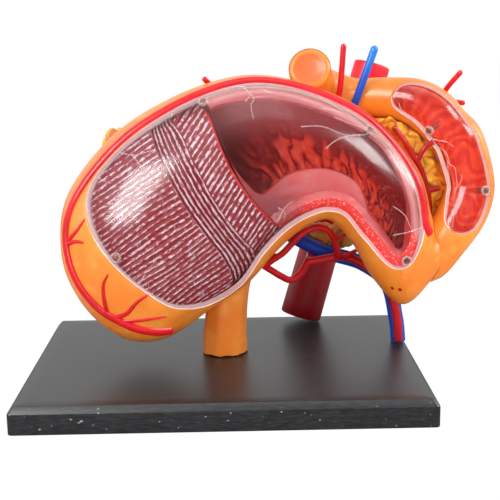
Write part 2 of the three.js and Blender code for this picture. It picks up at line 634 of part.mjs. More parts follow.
function duodenumShells() {
  const radius = duodenumRadius.getPoint(0.5).x;
  const seam = THREE.MathUtils.radToDeg(GAP / 2 / radius);
  const wall = { from: 0, to: lastStation, outside: 0, inside: -DUODENUM_WALL, rings: DUODENUM_RINGS,
    sides: DUODENUM_SIDES / 2 };
  const front = duodenumWall({ ...wall, start: -90 + seam, end: 90 - seam });
  const rear = duodenumWall({ ...wall, start: 90 + seam, end: 270 - seam });
  const opening = duodenumPane(PANE_GAP, DUODENUM_WALL, -2 * DUODENUM_WALL);
  return {
    front: mainBody(cut(clearOfStomach(front), [opening, jejunumRoom, ...duodenumPinHoles])),
    rear: mainBody(cut(clearOfStomach(rear), [jejunumRoom])),
  };
}

function duodenumWindow() {
  return mainBody(cut(duodenumPane(0, 0, -DUODENUM_WALL), duodenumPinHoles));
}

/** Height of the ring folds inside the duodenum. */
function ringFolds(station) {
  const length = (station * duodenumPath.getLength()) / lastStation;
  return -DUODENUM_FOLD_HEIGHT * Math.max(Math.sin((2 * Math.PI * length) / DUODENUM_FOLD_PITCH), 0);
}

function duodenalLining() {
  const { from, to, opening } = DUODENUM_LINING;
  const outside = -DUODENUM_WALL - DUODENUM_LINING_GAP;
  const wall = duodenumWall({ from, to, start: opening[1], end: 360 + opening[0], outside,
    inside: outside - DUODENUM_LINING_WALL, rings: LINING_RINGS, sides: LINING_SIDES, relief: ringFolds });
  return mainBody(cut(wall, duodenumPinHoles));
}

/** The cut-off start of the jejunum: a round stub with a soft rim and a dished end. */
function jejunumSolid(grow) {
  const path = curveThrough(JEJUNUM);
  const last = JEJUNUM.length - 1;
  const radius = JEJUNUM[last][3];
  const radii = JEJUNUM.map((point) => point[3] + grow);
  const body = tube(JEJUNUM, radii, { steps: 5, sides: JEJUNUM_SIDES, flat: grow === 0 });
  const end = path.getPoint(1);
  const tangent = path.getTangent(1);
  const dish = rod(end.clone().addScaledVector(tangent, -JEJUNUM_DISH_DEPTH),
    end.clone().addScaledVector(tangent, radius), radius - JEJUNUM_RIM, JEJUNUM_SIDES);
  return body.subtract(dish);
}

const jejunumRoom = jejunumSolid(GAP);

// Vessels

const AORTA_SIDES = 20;

function aortaAxis() {
  const direction = vector(AORTA_DIRECTION).normalize();
  const lift = GAP + (AORTA_FOOT_DIAMETER / 2) * Math.sqrt(1 - direction.z ** 2);
  const foot = new THREE.Vector3(AORTA_FOOT[0], AORTA_FOOT[1], lift);
  return { foot, direction, top: foot.clone().addScaledVector(direction, AORTA_LENGTH) };
}

function aortaRod(grow) {
  const { foot, top } = aortaAxis();
  return rod(foot, top, AORTA_FOOT_DIAMETER / 2 + grow, AORTA_SIDES, AORTA_TOP_DIAMETER / 2 + grow);
}

const aortaRoom = aortaRod(GAP);

/** Where the celiac trunk meets the aorta's front, with the fitting gap between them. */
function celiacSeat() {
  const { foot, direction } = aortaAxis();
  const [, , height] = CELIAC_TRUNK[CELIAC_TRUNK.length - 1];
  const centre = foot.clone().addScaledVector(direction, (height - foot.z) / direction.z);
  return [centre.x - 1, centre.y - AORTA_TOP_DIAMETER / 2, height];
}

const trunkTube = (grow) => tube([...CELIAC_TRUNK, celiacSeat()], CELIAC_TRUNK_DIAMETER / 2 + grow);

function celiacTree() {
  const { left, front, height } = HEPATIC_END;
  const hepatic = tube([...HEPATIC_ARTERY, [PORTAL_FOOT[0] - left, PORTAL_FOOT[1] - front, height]],
    HEPATIC_ARTERY_DIAMETER / 2, { steps: 15, sides: 6 });
  const gastric = [LEFT_GASTRIC, RIGHT_GASTRIC]
    .map((route) => tube(route, GASTRIC_ARTERY_DIAMETER / 2, { steps: 12, sides: 5 }));
  const twigs = GASTRIC_TWIGS.map((route) => tube(route, TWIG_DIAMETER / 2, { steps: 1, sides: 5 }));
  const tree = join([hepatic, trunkTube(0), ...gastric, ...twigs]);
  return mainBody(cut(clearOfStomach(tree), [aortaRoom, portalRoom]));
}

const portalRoute = [...PORTAL_VEIN,
  [PORTAL_FOOT[0] - PORTAL_LEG.lean, PORTAL_FOOT[1], PORTAL_LEG.height], [...PORTAL_FOOT, -1]];
const portalTube = (grow) => tube(portalRoute, PORTAL_VEIN_DIAMETER / 2 + grow, { steps: 15, sides: 8 });
const portalRoom = portalTube(GAP);

function portalVein() {
  return mainBody(standOnPlate(clearOfStomach(portalTube(0))));
}

const duodenumSolid = (grow) => loft([
  [duodenumPath.getPoint(0)],
  ...Array.from({ length: DUODENUM_RINGS + 1 }, (_, i) => Array.from({ length: DUODENUM_SIDES }, (__, j) => (
    duodenumPoint((i / DUODENUM_RINGS) * lastStation, (j / DUODENUM_SIDES) * 360, grow)
  ))),
  [duodenumPath.getPoint(1)],
]);
const duodenumRoom = duodenumSolid(GAP);

const clearOfGut = (solid) => cut(clearOfStomach(solid), [duodenumRoom, jejunumRoom]);
const branchTree = (routes, grow = 0) => (
  join(routes.map((route) => tube(route, BRANCH_DIAMETER / 2 + grow, { sides: BRANCH_SIDES })))
);
const branchRoom = (routes) => branchTree(routes, GAP);

// Pancreas

/** A gland round a route: a tube whose skin swells in staggered lobes. */
function gland(route, radii) {
  const path = curveThrough(route);
  const radiusAt = (share) => THREE.MathUtils.lerp(...radii, share);
  const length = path.getLength();
  const steps = Math.ceil((LOBE_STEPS * length) / LOBE_PITCH);
  const frames = path.computeFrenetFrames(steps, false);
  const swell = (share, angle) => (
    LOBE_RISE * Math.cos((2 * Math.PI * share * length) / LOBE_PITCH) * Math.cos(LOBES_AROUND * angle)
  );
  const rings = Array.from({ length: steps + 1 }, (_, i) => Array.from({ length: GLAND_SIDES }, (__, j) => {
    const angle = (j / GLAND_SIDES) * 2 * Math.PI;
    const size = radiusAt(i / steps) + swell(i / steps, angle);
    return path.getPoint(i / steps).addScaledVector(frames.normals[i], size * Math.cos(angle))
      .addScaledVector(frames.binormals[i], size * Math.sin(angle));
  }));
  const tip = (at, sign) => path.getPoint(at).addScaledVector(path.getTangent(at), (sign * radii[at]) / 2);
  return loft([[tip(0, -1)], ...rings, [tip(1, 1)]]);
}

function pancreas() {
  const head = gland(PANCREAS_HEAD, [PANCREAS_BODY_RADIUS, PANCREAS_HEAD_RADIUS]);
  const body = gland(PANCREAS_BODY, [PANCREAS_HEAD_RADIUS, PANCREAS_TAIL_RADIUS]);
  const branches = [LOWER_DUODENAL_ARTERY, GASTRODUODENAL_ARTERY, [SPLENIC_ARTERY]].map(branchRoom);
  const rooms = [aortaRoom, portalRoom, trunkTube(GAP), mesentericArtery(GAP), mesentericVein(GAP)];
  return mainBody(cut(clearOfGut(join([head, body])), [...rooms, ...branches]));
}

const mesentericArtery = (grow) => tube(MESENTERIC_ARTERY, MESENTERIC_ARTERY_DIAMETER / 2 + grow);
const mesentericVein = (grow) => tube(MESENTERIC_VEIN, MESENTERIC_VEIN_DIAMETER / 2 + grow);

function splenicArtery() {
  return mainBody(cut(clearOfStomach(branchTree([SPLENIC_ARTERY])), [aortaRoom, portalRoom, trunkTube(GAP)]));
}

// Finishes

const finish = (color, roughness, options = {}) => ({ color, roughness, metalness: 0, ...options });
const FINISHES = {
  plate: finish(0x1c1d1f, 0.45),
  orange: finish(0xf08c3c, 0.3),
  clear: finish(0xe8b8b4, 0.05, { transparent: true, opacity: 0.35 }),
  pin: finish(0x6a3a28, 0.4),
  lining: finish(0x8c1c20, 0.35),
  muscle: finish(0x9a3038, 0.5),
  artery: finish(0xd8161e, 0.3),
  vein: finish(0x1c49b8, 0.3),
  pancreas: finish(0xe8a428, 0.45),
};

/** Adds a solid to a group as a named piece. */
function addPiece(group, name, solid, look) {
  const { vertProperties, triVerts } = solid.getMesh();
  const geometry = new THREE.BufferGeometry();
  geometry.setAttribute('position', new THREE.BufferAttribute(vertProperties, 3));
  geometry.setIndex(new THREE.BufferAttribute(triVerts, 1));
  geometry.computeVertexNormals();
  const mesh = new THREE.Mesh(geometry, new THREE.MeshStandardMaterial(look));
  mesh.name = name;
  group.add(mesh);
}

// Assembly

const model = new THREE.Group();
addPiece(model, 'base_plate', basePlate(), FINISHES.plate);

const organ = new THREE.Group();
organ.position.z = PLATE_HEIGHT;
model.add(organ);

const shells = stomachShells();
addPiece(organ, 'stomach_rear_shell', shells.rear, FINISHES.orange);
addPiece(organ, 'stomach_front_shell', shells.front, FINISHES.orange);
addPiece(organ, 'stomach_window', stomachWindow(), FINISHES.clear);
pinPlaces.forEach((place, i) => {
  addPiece(organ, `stomach_window_pin_${i + 1}`, pinSolid(place, pinDepth, pinRadius), FINISHES.pin);
});
addPiece(organ, 'gastric_lining', gastricLining(), FINISHES.lining);
addPiece(organ, 'muscle_layer_panel', musclePanel(), FINISHES.muscle);
addPiece(organ, 'gastroepiploic_artery', gastroepiploicArtery(), FINISHES.artery);
addPiece(organ, 'esophagus', esophagus(), FINISHES.orange);

const duodenum = duodenumShells();
addPiece(organ, 'duodenum_front_shell', duodenum.front, FINISHES.orange);
addPiece(organ, 'duodenum_rear_shell', duodenum.rear, FINISHES.orange);
addPiece(organ, 'duodenum_window', duodenumWindow(), FINISHES.clear);
duodenumPinPlaces.forEach((place, i) => {
  addPiece(organ, `duodenum_window_pin_${i + 1}`, pinSolid(place, duodenumPinDepth, pinRadius), FINISHES.pin);
});
addPiece(organ, 'duodenal_lining', duodenalLining(), FINISHES.lining);
addPiece(organ, 'jejunum_stub', mainBody(clearOfStomach(jejunumSolid(0))), FINISHES.orange);

addPiece(organ, 'pancreas', pancreas(), FINISHES.pancreas);
addPiece(organ, 'abdominal_aorta', aortaRod(0), FINISHES.artery);
addPiece(organ, 'celiac_artery_tree', celiacTree(), FINISHES.artery);
addPiece(organ, 'portal_vein', portalVein(), FINISHES.vein);
addPiece(organ, 'superior_mesenteric_artery', mainBody(clearOfGut(mesentericArtery(0))), FINISHES.artery);
addPiece(organ, 'superior_mesenteric_vein', mainBody(clearOfGut(mesentericVein(0))), FINISHES.vein);
addPiece(organ, 'gastroduodenal_artery', mainBody(clearOfGut(branchTree(GASTRODUODENAL_ARTERY))),
  FINISHES.artery);
addPiece(organ, 'lower_duodenal_artery', mainBody(clearOfGut(branchTree(LOWER_DUODENAL_ARTERY))),
  FINISHES.artery);
addPiece(organ, 'splenic_artery', splenicArtery(), FINISHES.artery);
addPiece(organ, 'short_gastric_artery', mainBody(clearOfStomach(branchTree([SHORT_GASTRIC_ARTERY]))),
  FINISHES.artery);

export default model;
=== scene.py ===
"""Stomach anatomy model: the dressed pieces, their finishes, the lights and the camera."""

from __future__ import annotations

import logging
import math
from dataclasses import dataclass, field
from enum import Enum
from functools import cache
from typing import Callable, Sequence

import bmesh
import bpy
import numpy as np
from mathutils import Matrix

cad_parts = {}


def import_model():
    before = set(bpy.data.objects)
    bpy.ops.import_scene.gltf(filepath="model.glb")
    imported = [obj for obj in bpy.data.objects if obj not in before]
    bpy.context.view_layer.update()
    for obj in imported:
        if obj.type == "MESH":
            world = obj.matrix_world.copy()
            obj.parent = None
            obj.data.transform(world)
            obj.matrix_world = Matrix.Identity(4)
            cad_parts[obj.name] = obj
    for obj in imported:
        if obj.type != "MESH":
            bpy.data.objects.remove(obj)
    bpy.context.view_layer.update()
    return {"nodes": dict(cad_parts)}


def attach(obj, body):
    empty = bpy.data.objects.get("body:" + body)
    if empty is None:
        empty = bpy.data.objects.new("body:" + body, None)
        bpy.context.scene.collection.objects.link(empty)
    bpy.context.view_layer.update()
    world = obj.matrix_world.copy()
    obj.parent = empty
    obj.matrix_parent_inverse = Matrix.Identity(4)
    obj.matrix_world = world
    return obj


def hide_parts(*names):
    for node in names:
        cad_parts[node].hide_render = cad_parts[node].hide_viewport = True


log = logging.getLogger("stomach_model")

# Metres in a millimetre, and heights in millimetres
MM = 0.001
PLATE_TOP = 8.0
FOOT_LEVEL = 8.3

Array = np.ndarray
Colour = tuple[float, float, float]
Places = tuple[tuple[float, float], ...]
Route = tuple[tuple[float, float, float], ...]
Stripes = Callable[[Array, Array], tuple[Array, Array]]
Piece = bpy.types.Object
Material = bpy.types.Material
Socket = bpy.types.NodeSocket


class Body(str, Enum):
    """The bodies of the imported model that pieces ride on."""

    BASE = "base"
    ORGAN = "organ"
    COVER = "front_cover"
    STOMACH_PANE = "stomach_window_pane"
    DUODENUM_PANE = "duodenum_window_pane"
    AORTA = "aorta"


class Slot(str, Enum):
    """The record's material slots."""

    PLATE = "plate"
    SHELL = "organ_shell"
    CLEAR = "clear_window"
    PEG = "peg"
    LINING = "lining"
    MUSCLE = "muscle"
    ARTERY = "artery"
    VEIN = "vein"
    PANCREAS = "pancreas"


class Side(Enum):
    """Which edge of a sheet is left open or closed round."""

    OPEN = 0
    ROUND = 1


# Curves and noise


def catmull(points: Array, at: Array) -> Array:
    """Open uniform Catmull-Rom curve through rows of numbers.

    Formula: between the rows p1 and p2 a Hermite cubic in w, with the slopes
    (p2 - p0) / 2 and (p3 - p1) / 2. A mirrored row is added at each end.

    Args:
        points: The rows that the curve passes through.
        at: Places along it, counted in rows from 0.

    Returns:
        One row of numbers for each place.
    """
    rows = np.asarray(points, float)
    at = np.clip(np.asarray(at, float), 0, len(rows) - 1)
    first = np.minimum(np.floor(at).astype(int), len(rows) - 2)
    padded = np.vstack([2 * rows[0] - rows[1], rows, 2 * rows[-1] - rows[-2]])
    return _hermite(*(padded[first + shift] for shift in range(4)), at - first)


def catmull_loop(points: Array, count: int) -> Array:
    """Closed uniform Catmull-Rom curve through rows of numbers.

    Args:
        points: The rows that the closed curve passes through.
        count: How many places to return, spread evenly over the rows.

    Returns:
        The places, the last of which isn't the first again.
    """
    rows = np.asarray(points, float)
    size = len(rows)
    at = np.arange(count) * size / count
    first = np.floor(at).astype(int)
    pick = [rows[(first + shift) % size] for shift in (-1, 0, 1, 2)]
    return _hermite(*pick, at - first)


def _hermite(p0: Array, p1: Array, p2: Array, p3: Array, w: Array) -> Array:
    """Cubic from p1 to p2 with slopes taken from the outer rows.

    Args:
        p0: The rows before p1.
        p1: The rows where the cubic starts.
        p2: The rows where it ends.
        p3: The rows after p2.
        w: Share of the way from p1 to p2.

    Returns:
        One row for each share.
    """
    w = w[..., None]
    start, end = (p2 - p0) / 2, (p3 - p1) / 2
    return (
        (2 * p1 - 2 * p2 + start + end) * w**3
        + (3 * p2 - 3 * p1 - 2 * start - end) * w**2
        + start * w
        + p1
    )


def unit(vectors: Array) -> Array:
    """The vectors at length 1."""
    return vectors / (np.linalg.norm(vectors, axis=-1, keepdims=True) + 1e-12)


def smooth_step(low: float, high: float, value: Array) -> Array:
    """0 below low, 1 above high, and an S-shaped rise between them."""
    share = np.clip((np.asarray(value, float) - low) / (high - low), 0, 1)
    return share * share * (3 - 2 * share)


def grid(first: Array, second: Array) -> list[Array]:
    """Two parameters on a grid: the first runs down the rows, the second along them."""
    return np.meshgrid(first, second, indexing="ij")


def circle_angles(count: int) -> Array:
    """Angles spread evenly round a circle, in radians."""
    return np.arange(count) * 2 * np.pi / count


class SoftNoise:
    """Smooth noise: random numbers on a cubic lattice, blended between its corners."""

    size = 32

    def __init__(self, seed: int) -> None:
        """Fills the lattice from a seed."""
        self.table = np.random.default_rng(seed).uniform(-1, 1, (self.size,) * 3)

    def __call__(self, places: Array) -> Array:
        """Noise from -1 to 1 at places counted in lattice cells.

        Formula: the eight corner values, weighted by w = f f (3 - 2 f) on each axis,
        where f is the place inside its cell.

        Args:
            places: An array whose last axis holds x, y and z.

        Returns:
            One number for each place.
        """
        base = np.floor(places).astype(int)
        inside = places - base
        w = inside * inside * (3 - 2 * inside)
        total = np.zeros(places.shape[:-1])
        for corner in np.ndindex(2, 2, 2):
            index = (base + corner) % self.size
            share = np.prod(np.where(corner, w, 1 - w), axis=-1)
            total += share * self.table[index[..., 0], index[..., 1], index[..., 2]]
        return total


class CellNoise:
    """Cell pattern: each lattice cell holds one seeded point."""

    size = 16

    def __init__(self, seed: int) -> None:
        """Places the points from a seed."""
        self.table = np.random.default_rng(seed).uniform(0.12, 0.88, (self.size,) * 3 + (3,))

    def __call__(self, places: Array) -> tuple[Array, Array]:
        """Distances to the nearest and second nearest point, in cells.

        Args:
            places: An array whose last axis holds x, y and z, in cells.

        Returns:
            The nearest and the second nearest distance.
        """
        base = np.floor(places).astype(int)
        nearest = np.full(places.shape[:-1], 9.0)
        second = nearest.copy()
        for shift in np.ndindex(3, 3, 3):
            cell = base + np.array(shift) - 1
            index = cell % self.size
            point = cell + self.table[index[..., 0], index[..., 1], index[..., 2]]
            far = np.linalg.norm(places - point, axis=-1)
            second = np.minimum(second, np.maximum(nearest, far))
            nearest = np.minimum(nearest, far)
        return nearest, second


# Meshes

# Edges that turn more than CRISP degrees stay crisp, and none do at SMOOTH degrees
CRISP = 40.0
SMOOTH = 180.0
# Vertices closer than this are one, and edges shorter than this are none, in metres
MERGE = 2e-6
EMPTY = 1e-7
# Turns of the circles that dome a tube's end, in degrees
DOME = (80, 62, 42, 20)


@dataclass
class Sheet:
    """Points, faces and per-point values of a mesh that is being put together.

    Attributes:
        points: One row of x, y and z in millimetres for each vertex.
        faces: Arrays of vertex numbers, one row for each face.
        values: Named numbers, one for each vertex.
    """

    points: Array
    faces: list[Array]
    values: dict[str, Array] = field(default_factory=dict)


def joined(sheets: Sequence[Sheet]) -> Sheet:
    """Several sheets in one, for pieces moulded together.

    Args:
        sheets: The sheets, each with the first one's values.

    Returns:
        The joined sheet.
    """
    shifts = np.cumsum([0] + [len(sheet.points) for sheet in sheets])
    return Sheet(
        np.vstack([sheet.points for sheet in sheets]),
        [face + shift for sheet, shift in zip(sheets, shifts) for face in sheet.faces],
        {name: np.concatenate([sheet.values[name] for sheet in sheets]) for name in sheets[0].values},
    )


def _quads(ids: Array) -> Array:
    """Quads between neighbouring rows and columns of a table of vertex numbers."""
    return np.stack([ids[:-1, :-1], ids[1:, :-1], ids[1:, 1:], ids[:-1, 1:]], -1).reshape(-1, 4)


def wall(
    outer: Array, inner: Array, columns: Side = Side.OPEN, values: dict[str, Array] | None = None
) -> Sheet:
    """A wall between two grids of points, closed along its edges.

    Formula: a quad for each cell of both grids, and a strip of quads between
    matching border points of the two.

    Args:
        outer: Grid of points, rows by columns by 3.
        inner: The same grid on the wall's other face.
        columns: ROUND if the last column meets the first.
        values: Named grids of numbers that both faces carry.

    Returns:
        The closed wall.
    """
    rows, count = outer.shape[:2]
    ids = np.arange(rows * count).reshape(rows, count)
    if columns is Side.ROUND:
        ids = np.concatenate([ids, ids[:, :1]], 1)
    under = ids + rows * count
    borders = [(ids[0], under[0]), (under[-1], ids[-1])]
    if columns is Side.OPEN:
        borders += [(under[:, 0], ids[:, 0]), (ids[:, -1], under[:, -1])]
    strips = [_quads(np.stack(pair)) for pair in borders]
    points = np.vstack([outer.reshape(-1, 3), inner.reshape(-1, 3)])
    doubled = {name: np.tile(np.ravel(numbers), 2) for name, numbers in (values or {}).items()}
    return Sheet(points, [_quads(ids), _quads(under)[:, ::-1], *strips], doubled)


def skin_of_rings(rings: Array, values: dict[str, Array] | None = None) -> Sheet:
    """A closed skin over rings of points, with a fan of triangles at each end.

    Args:
        rings: Grid of points, rings by points round by 3.
        values: Named numbers, one for each ring.

    Returns:
        The closed skin.
    """
    count, around = rings.shape[:2]
    ids = np.arange(count * around).reshape(count, around)
    looped = np.concatenate([ids, ids[:, :1]], 1)
    start, end = count * around, count * around + 1
    fans = [
        np.stack([np.full(around, start), looped[0, 1:], looped[0, :-1]], -1),
        np.stack([np.full(around, end), looped[-1, :-1], looped[-1, 1:]], -1),
    ]
    points = np.vstack([rings.reshape(-1, 3), rings[0].mean(0), rings[-1].mean(0)])
    spread = {
        name: np.concatenate([np.repeat(row, around), [row[0], row[-1]]])
        for name, row in (values or {}).items()
    }
    return Sheet(points, [_quads(looped), *fans], spread)


def make_object(name: str, sheet: Sheet, sharp: float = CRISP) -> Piece:
    """Puts a sheet into a Blender object in metres, with doubles merged and faces outward.

    Args:
        name: The piece's name.
        sheet: The mesh in millimetres.
        sharp: Edges that turn more than this many degrees stay crisp.

    Returns:
        The object, linked to the scene.
    """
    mesh = bpy.data.meshes.new(name)
    flat = np.concatenate([face.ravel() for face in sheet.faces]).astype(np.int32)
    sizes = np.concatenate([np.full(len(face), face.shape[1]) for face in sheet.faces])
    mesh.vertices.add(len(sheet.points))
    mesh.vertices.foreach_set("co", (sheet.points * MM).astype(np.float32).ravel())
    mesh.loops.add(len(flat))
    mesh.loops.foreach_set("vertex_index", flat)
    mesh.polygons.add(len(sizes))
    mesh.polygons.foreach_set("loop_start", (np.cumsum(sizes) - sizes).astype(np.int32))
    mesh.update(calc_edges=True)
    carry(mesh, sheet.values)
    tidy_mesh(mesh)
    shade(mesh, sharp)
    piece = bpy.data.objects.new(name, mesh)
    bpy.context.scene.collection.objects.link(piece)
    return piece


def carry(mesh: bpy.types.Mesh, values: dict[str, Array]) -> None:
    """Gives a mesh named numbers, one for each vertex, that its material reads."""
    for key, numbers in values.items():
        mesh.attributes.new(key, "FLOAT", "POINT").data.foreach_set("value", numbers.astype(np.float32))


def tidy_mesh(mesh: bpy.types.Mesh) -> None:
    """Merges doubles, drops empty faces and turns every face outward.

    Args:
        mesh: The mesh, changed in place.
    """
    work = bmesh.new()
    work.from_mesh(mesh)
    bmesh.ops.remove_doubles(work, verts=work.verts, dist=MERGE)
    bmesh.ops.dissolve_degenerate(work, edges=work.edges, dist=EMPTY)
    bmesh.ops.recalc_face_normals(work, faces=work.faces)
    work.to_mesh(mesh)
    work.free()
    mesh.update()


def shade(mesh: bpy.types.Mesh, sharp: float) -> None:
    """Shades a mesh smooth, apart from edges that turn more than sharp degrees."""
    mesh.polygons.foreach_set("use_smooth", np.ones(len(mesh.polygons), bool))
    mesh.set_sharp_from_angle(angle=math.radians(sharp))


def bake_modifiers(piece: Piece, sharp: float = CRISP) -> None:
    """Replaces a piece's mesh by the one that its modifiers give, and drops them.

    Args:
        piece: The object with the modifiers.
        sharp: Edges that turn more than this many degrees stay crisp.
    """
    graph = bpy.context.evaluated_depsgraph_get()
    mesh = bpy.data.meshes.new_from_object(piece.evaluated_get(graph))
    piece.modifiers.clear()
    piece.data = mesh
    tidy_mesh(mesh)
    shade(mesh, sharp)


def cut_away(piece: Piece, tool: Piece) -> None:
    """Cuts the room of one solid out of another.

    Args:
        piece: The solid that is cut.
        tool: The solid whose room goes.
    """
    step = piece.modifiers.new("cut", "BOOLEAN")
    step.operation = "DIFFERENCE"
    step.solver = "EXACT"
    step.object = tool
    bake_modifiers(piece)


def fuse(piece: Piece, voxel: float, smoothing: int) -> None:
    """Fuses overlapping forms into one skin and softens their joins.

    Args:
        piece: The object whose forms overlap.
        voxel: Edge of the remeshing cell, in millimetres.
        smoothing: Rounds of smoothing that follow.
    """
    step = piece.modifiers.new("fuse", "REMESH")
    step.mode = "VOXEL"
    step.voxel_size = voxel * MM
    soften = piece.modifiers.new("soften", "SMOOTH")
    soften.factor = 0.5
    soften.iterations = smoothing
    bake_modifiers(piece, SMOOTH)


def lifted(points: Sequence[Sequence[float]]) -> Array:
    """Points measured above the plate's top, as rows in the model's frame."""
    return np.array(points, float) + np.array([0, 0, PLATE_TOP])


def tube(
    points: Array, radii: Array | float, sides: int = 20, pace: float = 0.7, ends: float = 1.0
) -> Sheet:
    """A round tube along a Catmull-Rom route, with domed ends.

    Formula: a circle of the route's own radius stands square to it at each step.
    Its axes are carried along the route and lose their part along the tangent.
    Each end adds circles of radius r cos(t), moved out by ends times r sin(t).

    Args:
        points: The route's points, in the model's frame.
        radii: One radius, or one for each point.
        sides: Points round the tube.
        pace: Length of a step along the route, in millimetres.
        ends: How far the end domes stand out, in radii.

    Returns:
        The closed tube, with the value "along" running from 0 to 1.
    """
    rows = np.asarray(points, float)
    thick = np.broadcast_to(np.asarray(radii, float), (len(rows),))
    reach = np.linalg.norm(np.diff(rows, axis=0), axis=1).sum()
    steps = max(int(reach / pace), 6)
    at = np.linspace(0, len(rows) - 1, steps + 1)
    spots = catmull(rows, at)
    radius = catmull(thick[:, None], at)[:, 0]
    tangents = unit(np.gradient(spots, axis=0))
    carried = _carried_axes(tangents)
    turn = np.radians(DOME)
    first = spots[0] - tangents[0] * (ends * radius[0] * np.sin(turn))[:, None]
    last = spots[-1] + tangents[-1] * (ends * radius[-1] * np.sin(turn[::-1]))[:, None]
    spots = np.vstack([first, spots, last])
    radius = np.concatenate([radius[0] * np.cos(turn), radius, radius[-1] * np.cos(turn[::-1])])
    axes = np.concatenate([[carried[0]] * len(DOME), carried, [carried[-1]] * len(DOME)])
    return skin_of_rings(_rings(spots, axes, radius, sides), {"along": np.linspace(0, 1, len(spots))})


def _rings(spots: Array, axes: Array, radius: Array, sides: int) -> Array:
    """Circles round the spots of a route: cos t of one axis and sin t of the other.

    Args:
        spots: The circles' centres.
        axes: Two axes for each circle.
        radius: One radius for each circle.
        sides: Points round each circle.

    Returns:
        Grid of points, circles by sides by 3.
    """
    angle = circle_angles(sides)[:, None]
    circle = axes[:, 0, None] * np.cos(angle) + axes[:, 1, None] * np.sin(angle)
    return spots[:, None] + circle * radius[:, None, None]


def _carried_axes(tangents: Array) -> Array:
    """Two axes square to each tangent, carried along the route without twist.

    Args:
        tangents: The route's directions.

    Returns:
        Two axes for each direction.
    """
    guess = np.eye(3)[np.argmin(np.abs(tangents).mean(0))]
    axes = np.empty((len(tangents), 2, 3))
    for i, tangent in enumerate(tangents):
        guess = unit(guess - tangent * (guess @ tangent))
        axes[i] = guess, np.cross(tangent, guess)
    return axes


def turned(profile: Sequence[tuple[float, float]], spot: Array, axis: Array, sides: int = 24) -> Sheet:
    """A form turned on an axis.

    Formula: each profile point (r, h) becomes a circle of radius r at the height h
    along the axis.

    Args:
        profile: Radius and height of each circle, from one end to the other.
        spot: Where the height is 0.
        axis: The way that the height runs.
        sides: Points round each circle.

    Returns:
        The closed form.
    """
    ahead = unit(axis)
    askew = [0.31, 0.11, 0.94]
    across = unit(np.cross(ahead, askew))
    beside = np.cross(ahead, across)
    angle = circle_angles(sides)
    circle = across * np.cos(angle)[:, None] + beside * np.sin(angle)[:, None]
    rows = np.array(profile, float)
    rings = spot + circle[None] * rows[:, 0, None, None] + ahead * rows[:, 1, None, None]
    return skin_of_rings(rings)


def distance_to(points: Array, line: Array) -> Array:
    """Distance from each point of a grid to the nearest of a line's points.

    Args:
        points: Grid of points.
        line: The line's points.

    Returns:
        Grid of distances, worked out in parts so that they fit in memory.
    """
    flat = points.reshape(-1, 1, 3)
    parts = [np.linalg.norm(part - line, axis=-1).min(1) for part in np.array_split(flat, 24)]
    return np.concatenate(parts).reshape(points.shape[:-1])


# Skins of the two organs


class Skin:
    """A surface with two parameters: the place along an organ and the angle round it."""

    def point(self, along: Array, degrees: Array, offset: Array | float = 0.0) -> Array:
        """Point of the skin, moved outward by an offset in millimetres."""
        raise NotImplementedError

    def at(self, places: Array, offset: Array | float = 0.0) -> Array:
        """Points of the skin at rows of place along and angle."""
        return self.point(places[..., 0], places[..., 1], offset)

    def normal(self, along: Array, degrees: Array) -> Array:
        """Outward direction of the skin."""
        return unit(self.point(along, degrees, 0.5) - self.point(along, degrees, 0.0))

    def line(self, places: Sequence[Sequence[float]], steps: int, offset: float = 0.0) -> Array:
        """Points on the skin along an open curve through places.

        Args:
            places: Rows of place along and angle.
            steps: Number of steps.
            offset: How far outside the skin the line runs.

        Returns:
            The points.
        """
        return self.at(catmull(places, np.linspace(0, len(places) - 1, steps + 1)), offset)


def _same_shape(*numbers: Array | float) -> list[Array]:
    """The arrays as decimals, each at the shape that they have together."""
    return np.broadcast_arrays(*(np.asarray(v, float) for v in numbers))


